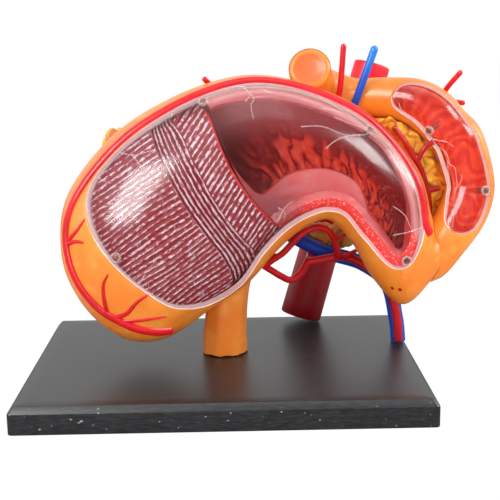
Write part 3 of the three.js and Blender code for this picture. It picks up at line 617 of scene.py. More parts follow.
@dataclass(frozen=True)
class StomachSkin(Skin):
    """The stomach's skin, on ribs that run from the fundus to the antrum.

    An angle of 0 is the greater curvature, 180 the lesser one and 270 the viewer's side.

    Attributes:
        ribs: x and z of the greater curvature, x and z of the lesser one, and half depth.
        lean: How far the skin leans back with height, in millimetres for each one.
        middle: Height that it leans about.
        length: The last rib's number.
    """

    ribs: tuple[tuple[float, ...], ...] = (
        (-23, 7, -23, 7, 0),
        (-33.5, 10, -13.5, 10.4, 12),
        (-44, 20, -3.5, 17.2, 19),
        (-49.6, 35, 8, 24.9, 23),
        (-46, 54.5, 16.5, 34, 23.5),
        (-25.5, 75.3, 23.2, 39.8, 22),
        (8, 87.4, 28.5, 42.8, 19.8),
        (40, 78.8, 33.5, 43, 17.2),
        (59, 60.5, 40, 36, 15.4),
        (64.2, 45.5, 46.5, 24.8, 13.4),
        (65.2, 40.2, 55.6, 16.9, 10.6),
        (65.9, 38.6, 66.2, 26.4, 6.8),
    )
    lean: float = 0.12
    middle: float = 47.0
    length: float = 11.0

    def _bare(self, rib: Array, angle: Array) -> Array:
        """Skin without an offset.

        Formula: x and z lie between the greater and the lesser curvature by the cosine
        of the angle, and y is the half depth times its sine, leaned back with height.

        Args:
            rib: Places along, in ribs.
            angle: Angles round, in radians.

        Returns:
            The points.
        """
        row = catmull(self.ribs, rib)
        greater, lesser, depth = row[..., 0:2], row[..., 2:4], np.maximum(row[..., 4], 0)
        flat = (greater + lesser) / 2 + (greater - lesser) / 2 * np.cos(angle)[..., None]
        y = depth * np.sin(angle) + self.lean * (flat[..., 1] - self.middle)
        return np.stack([flat[..., 0], y, flat[..., 1] + PLATE_TOP], -1)

    def point(self, along: Array, degrees: Array, offset: Array | float = 0.0) -> Array:
        """Point of the skin at a rib and an angle, moved outward by an offset.

        Formula: the way outward is the cross product of a small step along the skin
        and a small step round it.

        Args:
            along: Places along, in ribs.
            degrees: Angles round.
            offset: How far outside the skin the points lie.

        Returns:
            The points.
        """
        rib, turn, out = _same_shape(along, degrees, offset)
        angle = np.radians(turn)
        step, swing, tip = 0.022, 0.002, 0.02
        safe = np.maximum(rib, tip)
        after, before = np.minimum(safe + step, self.length), np.maximum(safe - step, 0)
        along_it = self._bare(after, angle) - self._bare(before, angle)
        round_it = self._bare(safe, angle + swing) - self._bare(safe, angle - swing)
        return self._bare(rib, angle) + unit(np.cross(along_it, round_it)) * out[..., None]

    def depth(self, rib: Array) -> Array:
        """Half depth at a rib."""
        return catmull(self.ribs, rib)[..., 4]


@dataclass(frozen=True)
class DuodenumSkin(Skin):
    """The duodenum's skin: a tube of changing radius, with 0 degrees at the viewer's side.

    Attributes:
        stations: Centre and radius at each station, from the stomach to the jejunum.
        length: The last station's number.
    """

    stations: tuple[tuple[float, ...], ...] = (
        (60, -2.5, 31, 6.2),
        (63.9, -1.6, 29.9, 6.5),
        (69.1, 0, 35.8, 6.9),
        (73.9, 2, 42.4, 7.5),
        (76.6, 3.5, 48, 7.6),
        (77.3, 4.8, 54.2, 7.6),
        (74.1, 6, 65.3, 7.8),
        (70.2, 7.3, 70.3, 7.5),
        (66, 9, 74.9, 7.7),
        (60.4, 11, 78.1, 7.3),
        (52.1, 14, 79.3, 6.4),
        (42.1, 17.5, 79.2, 6.2),
        (36, 18.5, 81, 6.4),
    )
    length: float = 12.0

    def point(self, along: Array, degrees: Array, offset: Array | float = 0.0) -> Array:
        """Point of the skin at a station and an angle, moved outward by an offset.

        Formula: from the centre line, the radius plus the offset times
        (-back cos + outer sin), where back is +Y made square to the line.

        Args:
            along: Places along, in stations.
            degrees: Angles round.
            offset: How far outside the skin the points lie.

        Returns:
            The points.
        """
        station, turn, out = _same_shape(along, degrees, offset)
        angle = np.radians(turn)[..., None]
        step = 0.01
        here = catmull(self.stations, station)
        ahead = catmull(self.stations, np.minimum(station + step, self.length))
        behind = catmull(self.stations, np.maximum(station - step, 0))
        tangent = unit(ahead[..., :3] - behind[..., :3])
        back = unit(np.array([0.0, 1.0, 0.0]) - tangent * tangent[..., 1:2])
        outer = np.cross(back, tangent)
        way = -back * np.cos(angle) + outer * np.sin(angle)
        return lifted(here[..., :3] + way * (here[..., 3] + out)[..., None])


# No ray of an opening counts as shorter than this, in millimetres
SHORTEST_RAY = 1.6


@dataclass(frozen=True)
class Opening:
    """A window opening in a skin, and the rectangle of parameters that it lies in.

    Attributes:
        skin: The skin that it is cut in.
        outline: Places round the opening.
        centre: The place from which every place of the outline is seen.
        low: Lowest corner of the rectangle.
        high: Highest corner of the rectangle.
    """

    # Distances of the first rows from the edge, in millimetres
    near_rows = (0, 0.08, 0.2, 0.4, 0.7, 1.1)

    skin: Skin
    outline: Places
    centre: tuple[float, float]
    low: tuple[float, float]
    high: tuple[float, float]

    def edge(self, count: int) -> Array:
        """Places on the outline."""
        return catmull_loop(np.array(self.outline, float), count)

    def rays(self, count: int) -> tuple[Array, Array]:
        """Places on the outline and where the rays through them meet the rectangle.

        Formula: a ray runs from the centre through an outline place to the first side
        of the rectangle, and the ray nearest each corner is turned to end in it.

        Args:
            count: Number of rays.

        Returns:
            The outline places and the rectangle places.
        """
        edge = self.edge(count)
        middle, low, high = (np.array(v, float) for v in (self.centre, self.low, self.high))
        way = edge - middle
        room = np.where(way > 0, high - middle, low - middle)
        level = np.abs(way) < 1e-6
        reach = np.min(np.where(level, np.inf, room / np.where(way == 0, 1, way)), axis=1)
        target = middle + way * reach[:, None]
        scale = high - low
        for corner in np.ndindex(2, 2):
            place = np.where(corner, high, low)
            target[np.argmin(np.linalg.norm((target - place) / scale, axis=1))] = place
        return edge, target

    def _speed(self, start: Array, end: Array) -> Array:
        """Millimetres along the skin for a whole ray, as it leaves its start.

        Args:
            start: Places where the rays start.
            end: Places where they end.

        Returns:
            One length for each ray.
        """
        step = 0.02
        beyond = start + (end - start) * step
        return np.linalg.norm(self.skin.at(beyond) - self.skin.at(start), axis=1) / step

    def surround(self, count: int, rows: int) -> tuple[Array, Array]:
        """Places from the opening's edge out to the rectangle.

        Formula: the first rows lie at fixed distances from the edge, in millimetres,
        and the others share the rest of the ray.

        Args:
            count: Number of rays.
            rows: Rows beyond the first ones.

        Returns:
            Grid of places, and each one's distance from the edge in millimetres.
        """
        edge, target = self.rays(count)
        speed = self._speed(edge, target)
        near = np.array(self.near_rows)[:, None] / np.maximum(speed, SHORTEST_RAY)
        rest = near[-1] + (1 - near[-1]) * (np.arange(1, rows + 1)[:, None] / rows) ** 1.25
        share = np.vstack([near, rest])
        places = edge + (target - edge) * share[..., None]
        return places, share * speed

    def set_back(self, places: Array, amount: float) -> Array:
        """The surround's places, moved outward at the edge and less and less beyond it.

        Args:
            places: Grid of places from the edge to the rectangle.
            amount: How far the first row moves, in millimetres.

        Returns:
            The moved grid.
        """
        first, last = places[0], places[-1]
        speed = np.maximum(self._speed(first, last), SHORTEST_RAY)
        reach = np.linalg.norm(places - first, axis=-1) / np.linalg.norm(last - first, axis=-1)
        moved = reach + np.minimum(amount / speed, 0.6) * (1 - reach)
        return first + (last - first) * moved[..., None]

    def inside(self, count: int, rows: int) -> tuple[Array, Array]:
        """Places from the centre out to the opening's edge, for its pane.

        Args:
            count: Number of rays.
            rows: Number of rows.

        Returns:
            Grid of places, and each one's distance from the edge in millimetres.
        """
        edge = self.edge(count)
        middle = np.array(self.centre, float)
        share = 1 - (1 - np.linspace(0.004, 1, rows)) ** 1.35
        places = middle + (edge - middle) * share[:, None, None]
        return places, np.linalg.norm(self.skin.at(places) - self.skin.at(edge), axis=-1)


def rounded(distance: Array, radius: float) -> Array:
    """Drop of a rounded edge: nothing beyond the radius, and the radius at the edge."""
    inside = radius - np.minimum(distance, radius)
    return np.sqrt(np.maximum(radius**2 - inside**2, 0)) - radius


def opened_wall(
    opening: Opening, counts: tuple[int, int], edge: float, undercut: float, thickness: float
) -> Sheet:
    """A shell's front wall with its window opening.

    Formula: the outer face is the skin with a rounded drop at the opening's edge, and
    the inner face is the skin less the thickness, set back from the edge.

    Args:
        opening: The opening.
        counts: Number of rays and of rows beyond the first ones.
        edge: Radius of the rounded edge.
        undercut: How far the opening widens towards the inside.
        thickness: Thickness of the wall.

    Returns:
        The closed wall.
    """
    places, distance = opening.surround(*counts)
    outer = opening.skin.at(places, rounded(distance, edge))
    inner = opening.skin.at(opening.set_back(places, undercut), -thickness)
    return wall(outer, inner, Side.ROUND)


STOMACH = StomachSkin()
DUODENUM = DuodenumSkin()

STOMACH_OPENING = Opening(
    skin=STOMACH,
    outline=(
        (4.54, 330.5), (4.16, 328), (3.8, 317), (3.38, 300), (2.86, 275), (2.4, 248),
        (2.42, 220), (2.96, 206.5), (3.94, 210), (4.94, 212), (5.92, 213), (6.74, 218),
        (7.26, 223), (7.9, 221), (8.58, 231), (9.1, 248), (9.26, 275), (8.94, 308),
        (8.14, 322), (7.54, 330.5), (6.98, 334.5), (6.18, 336.5), (5.5, 334.5), (5.04, 331.5),
    ),
    centre=(5.8, 270),
    low=(0, 180.12),
    high=(11, 359.88),
)


def _duodenum_outline() -> Places:
    """Places round the duodenum's window: up its inner side, then back down its outer side.

    Returns:
        The places, from rows that each hold a station and the angles of both sides.
    """
    spans = np.array(
        [
            (2.28, -20, -8), (2.45, -44, 16), (2.9, -61, 42), (3.8, -76, 44), (5, -78, 42), (6, -76, 43),
            (7, -65, 55), (8, -54, 59), (8.8, -45, 61), (9.3, -33, 54), (9.56, -20, 34), (9.66, -4, 8),
        ]
    )
    inner, outer = spans[:, [0, 1]], spans[::-1, [0, 2]]
    return tuple(map(tuple, np.vstack([inner, outer])))


DUODENUM_OPENING = Opening(
    skin=DUODENUM,
    outline=_duodenum_outline(),
    centre=(6, 0),
    low=(0, -89.4),
    high=(12, 89.4),
)


# Finishes

# The main shader's sockets, by the words that the finishes use
SOCKETS = {"shine": "Specular IOR Level", "coat": "Coat Weight", "coat_rough": "Coat Roughness"}
WHITE = (1.0, 1.0, 1.0)


def srgb(red: float, green: float, blue: float) -> Colour:
    """A colour as seen on screen, as linear light.

    Args:
        red: Its red, from 0 to 255.
        green: Its green.
        blue: Its blue.

    Returns:
        The three shares, from 0 to 1.
    """
    share = np.array([red, green, blue]) / 255
    linear = np.where(share <= 0.04045, share / 12.92, ((share + 0.055) / 1.055) ** 2.4)
    return tuple(float(v) for v in linear)


class Recipe:
    """The nodes of a material or of the world, added and wired one by one.

    An input below is a constant or an output socket.
    """

    def __init__(self, name: str, world: bool = False) -> None:
        """Starts with no nodes.

        Args:
            name: The material's or the world's name.
            world: Whether it is a world.
        """
        self.owner = (bpy.data.worlds if world else bpy.data.materials).new(name)
        self.owner.use_nodes = True
        self.tree = self.owner.node_tree
        self.tree.nodes.clear()

    def add(self, kind: str, inputs: dict | None = None, **settings: object) -> bpy.types.Node:
        """Adds a node.

        Args:
            kind: The node's type, without Blender's first words.
            inputs: Its inputs, by name or number.
            settings: The node's own options.

        Returns:
            The node.
        """
        node = self.tree.nodes.new("ShaderNode" + kind)
        for key, value in settings.items():
            setattr(node, key, value)
        for key, value in (inputs or {}).items():
            if isinstance(value, Socket):
                self.tree.links.new(value, node.inputs[key])
            elif isinstance(value, tuple) and node.inputs[key].type == "RGBA":
                node.inputs[key].default_value = (*value, 1.0)
            else:
                node.inputs[key].default_value = value
        return node

    def out(self, kind: str, inputs: dict | None = None, **settings: object) -> Socket:
        """First output of a new node."""
        return self.add(kind, inputs, **settings).outputs[0]

    def place(self, scale: Sequence[float] = (1, 1, 1)) -> Socket:
        """Object coordinates in metres, stretched by a scale."""
        where = self.add("TexCoord").outputs["Object"]
        return self.out("Mapping", {"Vector": where, "Scale": tuple(scale)})

    def value(self, name: str) -> Socket:
        """A number that the mesh carries."""
        return self.add("Attribute", attribute_name=name).outputs["Fac"]

    def noise(
        self, scale: float, detail: float = 3.0, where: Socket | None = None
    ) -> Socket:
        """Cloudy noise from 0 to 1, on Object coordinates unless it says where."""
        vector = self.place() if where is None else where
        return self.out("TexNoise", {"Vector": vector, "Scale": scale, "Detail": detail})

    def count(self, operation: str, *numbers: object) -> Socket:
        """The result of a sum on one to three numbers."""
        return self.out("Math", dict(enumerate(numbers)), operation=operation)

    def times(self, first: object, second: object) -> Socket:
        """The product of two numbers."""
        return self.count("MULTIPLY", first, second)

    def span(self, value: Socket, low: float, high: float) -> Socket:
        """The share of the way from low to high, smoothed and held between 0 and 1."""
        inputs = {"Value": value, "From Min": low, "From Max": high}
        return self.out("MapRange", inputs, interpolation_type="SMOOTHSTEP")

    def blend(self, share: object, first: object, second: object) -> Socket:
        """A colour between two."""
        return self.add("Mix", {0: share, 6: first, 7: second}, data_type="RGBA").outputs[2]

    def bump(self, height: object, depth: float, strength: float = 1.0) -> Socket:
        """A relief of so many millimetres."""
        return self.out("Bump", {"Height": height, "Distance": depth * MM, "Strength": strength})

    def gloss(
        self, colour: object, rough: object, relief: Socket | None = None, **more: float
    ) -> Socket:
        """The main shader.

        Args:
            colour: Its colour.
            rough: Its roughness.
            relief: Its relief, or None for a smooth face.
            more: Numbers for the sockets that SOCKETS names.

        Returns:
            The shader's output.
        """
        inputs = {"Base Color": colour, "Roughness": rough}
        if relief is not None:
            inputs["Normal"] = relief
        return self.out("BsdfPrincipled", inputs | {SOCKETS[word]: v for word, v in more.items()})

    def mixed(self, share: object, first: object, second: object) -> Socket:
        """A shader between two."""
        return self.out("MixShader", {0: share, 1: first, 2: second})

    def done(self, shader: Socket) -> Material:
        """Wires the shader to the output and gives the material back."""
        self.add("OutputMaterial", {"Surface": shader})
        return self.owner


@dataclass(frozen=True)
class GlossPaint:
    """Glossy paint that pools a little darker here and paler there.

    Attributes:
        name: The material's name.
        main: Its colour.
        pooled: Its colour where it lies thicker.
        thin: Its colour where it lies thinner.
        roughness: Roughness of the gloss.
        grain: Depth of its fine unevenness, in millimetres.
        shine: Specular level of the paint.
    """

    name: str
    main: Colour
    pooled: Colour
    thin: Colour
    roughness: float = 0.32
    grain: float = 0.05
    shine: float = 0.5

    def material(self) -> Material:
        """The paint's material: cloudy colour, a fine grain and a soft gloss.

        Returns:
            The material.
        """
        mix = Recipe(self.name)
        pooled = mix.blend(mix.span(mix.noise(75, 3), 0.35, 0.65), self.pooled, self.main)
        thin = mix.span(mix.noise(210, 2), 0.5, 0.78)
        colour = mix.blend(mix.times(thin, 0.55), pooled, self.thin)
        relief = mix.bump(mix.noise(900, 2), self.grain, 0.35)
        rough = mix.count("MULTIPLY_ADD", mix.noise(160, 2), 0.16, self.roughness - 0.08)
        return mix.done(mix.gloss(colour, rough, relief, shine=self.shine, coat=0.08, coat_rough=0.1))


@dataclass(frozen=True)
class FadingPaint:
    """Glossy paint whose colour changes from one end of a vessel to the other.

    Attributes:
        name: The material's name.
        foot: Colour at the end that the value "along" starts from.
        middle: Colour halfway.
        tip: Colour at the other end.
        roughness: Roughness of the gloss.
    """

    name: str
    foot: Colour
    middle: Colour
    tip: Colour
    roughness: float = 0.3

    def material(self) -> Material:
        """The paint's material: three colours along the vessel, with cloudy edges.

        Returns:
            The material.
        """
        mix = Recipe(self.name)
        along = mix.count("MULTIPLY_ADD", mix.noise(180, 3), 0.14, mix.value("along"))
        lower = mix.blend(mix.span(along, 0.1, 0.5), self.foot, self.middle)
        colour = mix.blend(mix.span(along, 0.6, 1.0), lower, self.tip)
        relief = mix.bump(mix.noise(900, 2), 0.05, 0.35)
        return mix.done(mix.gloss(colour, self.roughness, relief, shine=0.3, coat=0.06, coat_rough=0.12))


@dataclass(frozen=True)
class SatinPlate:
    """Black moulded plastic with a very fine grain and a few pale nicks.

    Attributes:
        name: The material's name.
        main: Its colour.
        pale: Colour of the grain's high places.
        nick: Colour of a nick.
    """

    name: str = "satin_black_plastic"
    main: Colour = srgb(28, 29, 31)
    pale: Colour = srgb(46, 47, 49)
    nick: Colour = srgb(150, 150, 150)

    def material(self) -> Material:
        """The plate's material: brushed grain along X, and nicks on its upright faces.

        Returns:
            The material.
        """
        mix = Recipe(self.name)
        grain = mix.noise(420, 3, mix.place((1, 7, 7)))
        cloud = mix.blend(mix.span(grain, 0.35, 0.75), self.main, self.pale)
        specks = mix.span(mix.noise(620, 2, mix.place((1, 1, 1.6))), 0.715, 0.74)
        facing = mix.add("SeparateXYZ", {0: mix.add("NewGeometry").outputs["Normal"]})
        upright = mix.span(mix.count("ABSOLUTE", facing.outputs["Z"]), 0.85, 0.4)
        colour = mix.blend(mix.times(specks, upright), cloud, self.nick)
        rough = mix.count("MULTIPLY_ADD", grain, 0.14, 0.3)
        return mix.done(mix.gloss(colour, rough, mix.bump(mix.noise(2600, 2), 0.04, 0.4)))


@dataclass(frozen=True)
class ClearPlastic:
    """Clear moulded plastic, faintly pink, that mirrors the lights.

    Attributes:
        name: The material's name.
        tint: What passes through it keeps this colour.
        haze: Colour of its milky part.
        milky: Share of the milky part.
        rim: Share that the milky part gains where the value "rim" is 1: a pale band painted along the edge
            as the highlight of its thick shoulder.
        roughness: Roughness of its gloss.
        index: Refractive index that sets the strength of its gloss.
    """

    name: str = "clear_plastic"
    tint: Colour = (0.985, 0.945, 0.945)
    haze: Colour = (0.97, 0.78, 0.79)
    milky: float = 0.004
    rim: float = 0.55
    roughness: float = 0.18
    index: float = 1.5

    def material(self) -> Material:
        """The pane's material: see-through and milky parts under a Fresnel gloss.

        Returns:
            The material.
        """
        mix = Recipe(self.name)
        wave = mix.bump(mix.noise(150, 2), 0.5, 0.1)
        clear = mix.out("BsdfTransparent", {"Color": self.tint})
        milk = mix.out("BsdfDiffuse", {"Color": self.haze})
        # painted highlight: the milky part grows along the pane's rim
        share = mix.count("ADD", mix.times(mix.value("rim"), self.rim), self.milky)
        gloss = mix.out("BsdfGlossy", {"Roughness": self.roughness, "Normal": wave})
        bend = mix.out("Fresnel", {"IOR": self.index, "Normal": wave})
        outside = mix.count("SUBTRACT", 1.0, mix.add("NewGeometry").outputs["Backfacing"])
        coated = mix.mixed(mix.times(bend, outside), mix.mixed(share, clear, milk), gloss)
        lamp = mix.add("LightPath").outputs["Is Shadow Ray"]
        return mix.done(mix.mixed(lamp, coated, clear))


@dataclass(frozen=True)
class ClearPeg:
    """A clear peg with a brown head.

    Attributes:
        name: The material's name.
        head: The head's colour.
        head_deep: The head's colour where it is darker.
        shank: Tint of light through the shank.
    """

    name: str = "peg_paint"
    head: Colour = srgb(150, 88, 62)
    head_deep: Colour = srgb(92, 50, 38)
    shank: Colour = (0.97, 0.9, 0.88)

    def material(self) -> Material:
        """The peg's material, brown where the mesh's "along" value is 1.

        Returns:
            The material.
        """
        mix = Recipe(self.name)
        clear = mix.out("BsdfTransparent", {"Color": self.shank})
        brown = mix.blend(mix.span(mix.noise(900, 3), 0.3, 0.7), self.head, self.head_deep)
        return mix.done(mix.mixed(mix.value("along"), clear, mix.gloss(brown, 0.4)))


@dataclass(frozen=True)
class FoldedLining:
    """Wet-looking lining with painted light: gaps painted dark as their shade, folds painted bright, and
    painted light and shade that change along it.

    Attributes:
        name: The material's name.
        valley: Colour of the gaps, painted darker as their shade.
        crest: Colour of the folds, painted lighter as their light.
        dusk_valley: Colour of the gaps where the value "tone" is 0, the side painted as in shade.
        dusk_crest: Colour of the folds there, also painted as in shade.
        crest_highlight: Painted highlight on the highest crests of the side painted as lit.
        roughness: Roughness of the gloss.
        sheen_blend: Colour of a paler painted sheen, blended in where the value "sheen_blend" is 1.
    """

    name: str = "folded_lining"
    valley: Colour = srgb(170, 12, 16)
    crest: Colour = srgb(255, 76, 52)
    dusk_valley: Colour = srgb(124, 20, 26)
    dusk_crest: Colour = srgb(160, 44, 46)
    crest_highlight: Colour = srgb(255, 106, 72)
    roughness: float = 0.4
    sheen_blend: Colour = srgb(250, 112, 122)

    def material(self) -> Material:
        """The lining's material, driven by the values "fold", "tone" (painted light and shade) and
        "sheen_blend" (a painted sheen).

        Returns:
            The material.
        """
        mix = Recipe(self.name)
        level = mix.count("SUBTRACT", mix.value("fold"), 0.25)
        fold = mix.count("MULTIPLY_ADD", mix.noise(420, 4), 0.5, level)
        height = mix.span(fold, 0.2, 0.8)
        # painted shade and light: the gaps take the darker colour and the folds the lighter one, on the lit
        # side and on the side painted as in shade
        bright = mix.blend(height, self.valley, self.crest)
        dull = mix.blend(height, self.dusk_valley, self.dusk_crest)
        tone = mix.blend(mix.value("tone"), dull, bright)
        # painted highlight on the highest crests, only where the lining is painted as lit
        peak = mix.times(mix.span(fold, 0.8, 1.2), mix.value("tone"))
        lit = mix.blend(mix.times(peak, 0.6), tone, self.crest_highlight)
        # painted sheen: a paler colour blended in where the mesh says so
        colour = mix.blend(mix.value("sheen_blend"), lit, self.sheen_blend)
        relief = mix.bump(mix.noise(700, 3), 0.18, 0.5)
        return mix.done(mix.gloss(colour, self.roughness, relief, shine=0.14))


@dataclass(frozen=True)
class CutWall:
    """The lining's cut front: a dotted section, a smooth hollow and an upper rim painted pale at the pane's
    edge as a highlight.

    Attributes:
        name: The material's name.
        section: Colour of the cut section.
        dot: Colour of the section's dots.
        hollow: Colour of the smooth hollow.
        hollow_edge: Its colour where it is redder.
        rim: Colour of the upper rim at the pane's edge, a painted highlight.
        rim_deep: Its colour farther in, where the painted highlight has faded.
        painted_shade: Colour of the end under the muscle, painted dark as its shade.
        line: Colour of the line round the mouth.
    """

    name: str = "cut_lining_wall"
    section: Colour = srgb(255, 70, 68)
    dot: Colour = srgb(254, 186, 172)
    hollow: Colour = srgb(212, 114, 116)
    hollow_edge: Colour = srgb(220, 84, 80)
    rim: Colour = srgb(244, 196, 198)
    rim_deep: Colour = srgb(190, 104, 110)
    painted_shade: Colour = srgb(124, 50, 60)
    line: Colour = srgb(190, 40, 44)

    def material(self) -> Material:
        """The wall's material, driven by "section", "rim", "sheen_blend", "painted_shade" and "lip".

        Returns:
            The material.
        """
        mix = Recipe(self.name)
        cells = mix.out("TexVoronoi", {"Vector": mix.place(), "Scale": 1100.0})
        dotted = mix.blend(mix.span(cells, 0.42, 0.16), self.section, self.dot)
        cloud = mix.span(mix.noise(260, 3), 0.35, 0.7)
        smooth = mix.blend(mix.times(cloud, 0.6), self.hollow, self.hollow_edge)
        inner = mix.blend(mix.value("section"), smooth, dotted)
        # painted highlight: the rim is pale at the pane's edge and fades farther in; the end under the
        # muscle is painted dark as its shade
        upper = mix.blend(mix.value("sheen_blend"), self.rim, self.rim_deep)
        whole = mix.blend(mix.value("painted_shade"), mix.blend(mix.value("rim"), inner, upper), self.painted_shade)
        colour = mix.blend(mix.value("lip"), whole, self.line)
        relief = mix.bump(mix.times(cells, mix.value("section")), 0.3, 0.6)
        return mix.done(mix.gloss(colour, 0.38, relief))


@dataclass(frozen=True)
class BrushedMuscle:
    """Dark red fibres whose crests are brushed with pale pink in dots and dashes.

    Attributes:
        name: The material's name.
        groove: Colour between the fibres.
        fibre: Colour of a fibre's side.
        brush: Colour of the dry-brushed crest.
        cover: How much of the crests the brush reached, from 0 to 1.
        stray: Strength of the strokes that run across the fibres.
    """

    name: str
    groove: Colour = srgb(134, 12, 24)
    fibre: Colour = srgb(170, 44, 58)
    brush: Colour = srgb(238, 220, 234)
    cover: float = 0.5
    stray: float = 0.0

    def material(self) -> Material:
        """The muscle's material, driven by the mesh's "across" and "along" values.

        Returns:
            The material.
        """
        mix = Recipe(self.name)
        cover = self.cover
        across, along = mix.value("across"), mix.value("along")
        spread = mix.out("CombineXYZ", {0: mix.times(across, 1.9), 1: along})
        wave = mix.count("COSINE", mix.times(across, 2 * math.pi))
        split = mix.count("COSINE", mix.times(across, 4.6 * math.pi))
        wander = mix.times(mix.count("SUBTRACT", mix.noise(0.7, 4, spread), 0.5), 3.0)
        wobble = mix.count("ADD", mix.count("MULTIPLY_ADD", split, 0.3, wave), wander)
        crest = mix.span(wobble, -0.6, 0.5)
        peak = mix.span(wobble, 0.75 - 0.7 * cover, 1.0 - 0.6 * cover)
        dash = mix.out("CombineXYZ", {0: mix.times(across, 2.6), 1: mix.times(along, 0.5)})
        dots = mix.span(mix.noise(1.15, 5, dash), 0.58 - 0.2 * cover, 0.64 - 0.16 * cover)
        patches = mix.span(mix.noise(0.17, 2, spread), 0.62 - 0.14 * cover, 0.74 - 0.14 * cover)
        fibres = mix.times(peak, mix.count("MAXIMUM", dots, mix.times(patches, 0.8)))
        lean = {
            0: mix.count("ADD", mix.times(across, 2.2), mix.times(along, -1.3)),
            1: mix.count("ADD", mix.times(across, 0.35), mix.times(along, 0.2)),
        }
        stray = mix.span(mix.noise(1.3, 4, mix.out("CombineXYZ", lean)), 0.6, 0.66)
        strokes = mix.times(stray, mix.times(patches, self.stray))
        brushed = mix.count("MAXIMUM", fibres, strokes)
        colour = mix.blend(brushed, mix.blend(crest, self.groove, self.fibre), self.brush)
        return mix.done(mix.gloss(colour, 0.5, mix.bump(mix.count("ADD", wobble, brushed), 0.3, 0.6)))


@dataclass(frozen=True)
class LobedGland:
    """Yellow lobes, painted darker on their sides and brown in the creases between them as their shade.

    Attributes:
        name: The material's name.
        crest: Colour of a lobe's top.
        flank: Colour of its side, painted darker as its shade.
        crease: Colour of the creases, painted brown as their shade.
        painted_shade: Colour of the part under the stomach, painted dark as its shadow.
    """

    name: str = "pancreas_paint"
    crest: Colour = srgb(252, 196, 56)
    flank: Colour = srgb(244, 166, 44)
    crease: Colour = srgb(196, 96, 28)
    painted_shade: Colour = srgb(150, 96, 48)

    def material(self) -> Material:
        """The gland's material, driven by the mesh's "lobe" and "painted_shade" values.

        Returns:
            The material.
        """
        mix = Recipe(self.name)
        level = mix.count("SUBTRACT", mix.value("lobe"), 0.2)
        lobe = mix.count("MULTIPLY_ADD", mix.noise(500, 3), 0.4, level)
        # painted shade: lobes darken down their sides to brown in the creases
        low = mix.blend(mix.span(lobe, -0.05, 0.22), self.crease, self.flank)
        high = mix.blend(mix.span(lobe, 0.3, 0.8), low, self.crest)
        # painted shadow on the part under the stomach
        colour = mix.blend(mix.times(mix.value("painted_shade"), 0.65), high, self.painted_shade)
        return mix.done(mix.gloss(colour, 0.4, mix.bump(mix.noise(800, 3), 0.2, 0.5), coat=0.2))


SHELL_ORANGE = srgb(246, 146, 52)
ORANGE = GlossPaint("orange_paint", SHELL_ORANGE, srgb(240, 128, 36), srgb(252, 168, 82), 0.34, 0.06, 0.4)
RED = GlossPaint("red_paint", srgb(228, 18, 32), srgb(206, 8, 22), srgb(240, 40, 48), 0.3, 0.05, 0.4)
DARK_RED = GlossPaint(
    "dark_red_paint", srgb(192, 10, 22), srgb(156, 4, 14), srgb(212, 28, 36), 0.3, 0.05, 0.4
)
# painted highlight: white paint on the bead along part of the pane's edge, where the cut edge catches the
# light
EDGE_HIGHLIGHT = GlossPaint(
    "pane_edge_highlight", srgb(240, 226, 222), srgb(222, 200, 198), srgb(250, 244, 242), 0.25, 0.03
)
# painted shade: the aorta is dark crimson towards its foot and bright red at the top
AORTA_RED = FadingPaint("aorta_paint", srgb(118, 6, 14), srgb(184, 12, 30), srgb(232, 14, 38), 0.4)
STUB_ORANGE = FadingPaint(
    "stub_orange_paint", SHELL_ORANGE, srgb(244, 136, 52), srgb(240, 112, 56), 0.36
)
BLUE = FadingPaint("vein_paint", srgb(28, 44, 120), srgb(22, 62, 168), srgb(28, 70, 180))
AZURE = FadingPaint("upper_vein_paint", srgb(22, 60, 165), srgb(24, 80, 200), srgb(36, 130, 228))
RING_LINING = FoldedLining(
    name="duodenal_lining_paint",
    valley=srgb(236, 62, 44),
    crest=srgb(252, 100, 62),
    dusk_valley=srgb(226, 84, 72),
    dusk_crest=srgb(244, 112, 88),
    crest_highlight=srgb(255, 128, 84),
)
# the raised lines and ring bosses are real relief; their 20 percent milky share paints in the pale
# highlights along them
RELIEF_CLEAR = ClearPlastic(
    "clear_relief", (0.97, 0.9, 0.9), (0.96, 0.84, 0.84), milky=0.2, rim=0.0, roughness=0.12
)


@cache
def material_of(finish: GlossPaint | FadingPaint) -> Material:
    """A finish's material, made once for all the pieces that share it."""
    return finish.material()


def dress(
    piece: Piece, body: Body, slot: Slot, look: Material, *nodes: str
) -> None:
    """Dresses a piece, rides it on its body and hides the nodes that it stands for.

    Args:
        piece: The piece.
        body: The body that it moves with.
        slot: The record's slot for it; not used.
        look: Its material.
        nodes: The nodes that it replaces.
    """
    piece.data.materials.clear()
    piece.data.materials.append(look)
    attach(piece, body.value)
    if nodes:
        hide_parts(*nodes)
    log.info("%s: %d faces on %s", piece.name, len(piece.data.polygons), body.value)


# Sub-assemblies


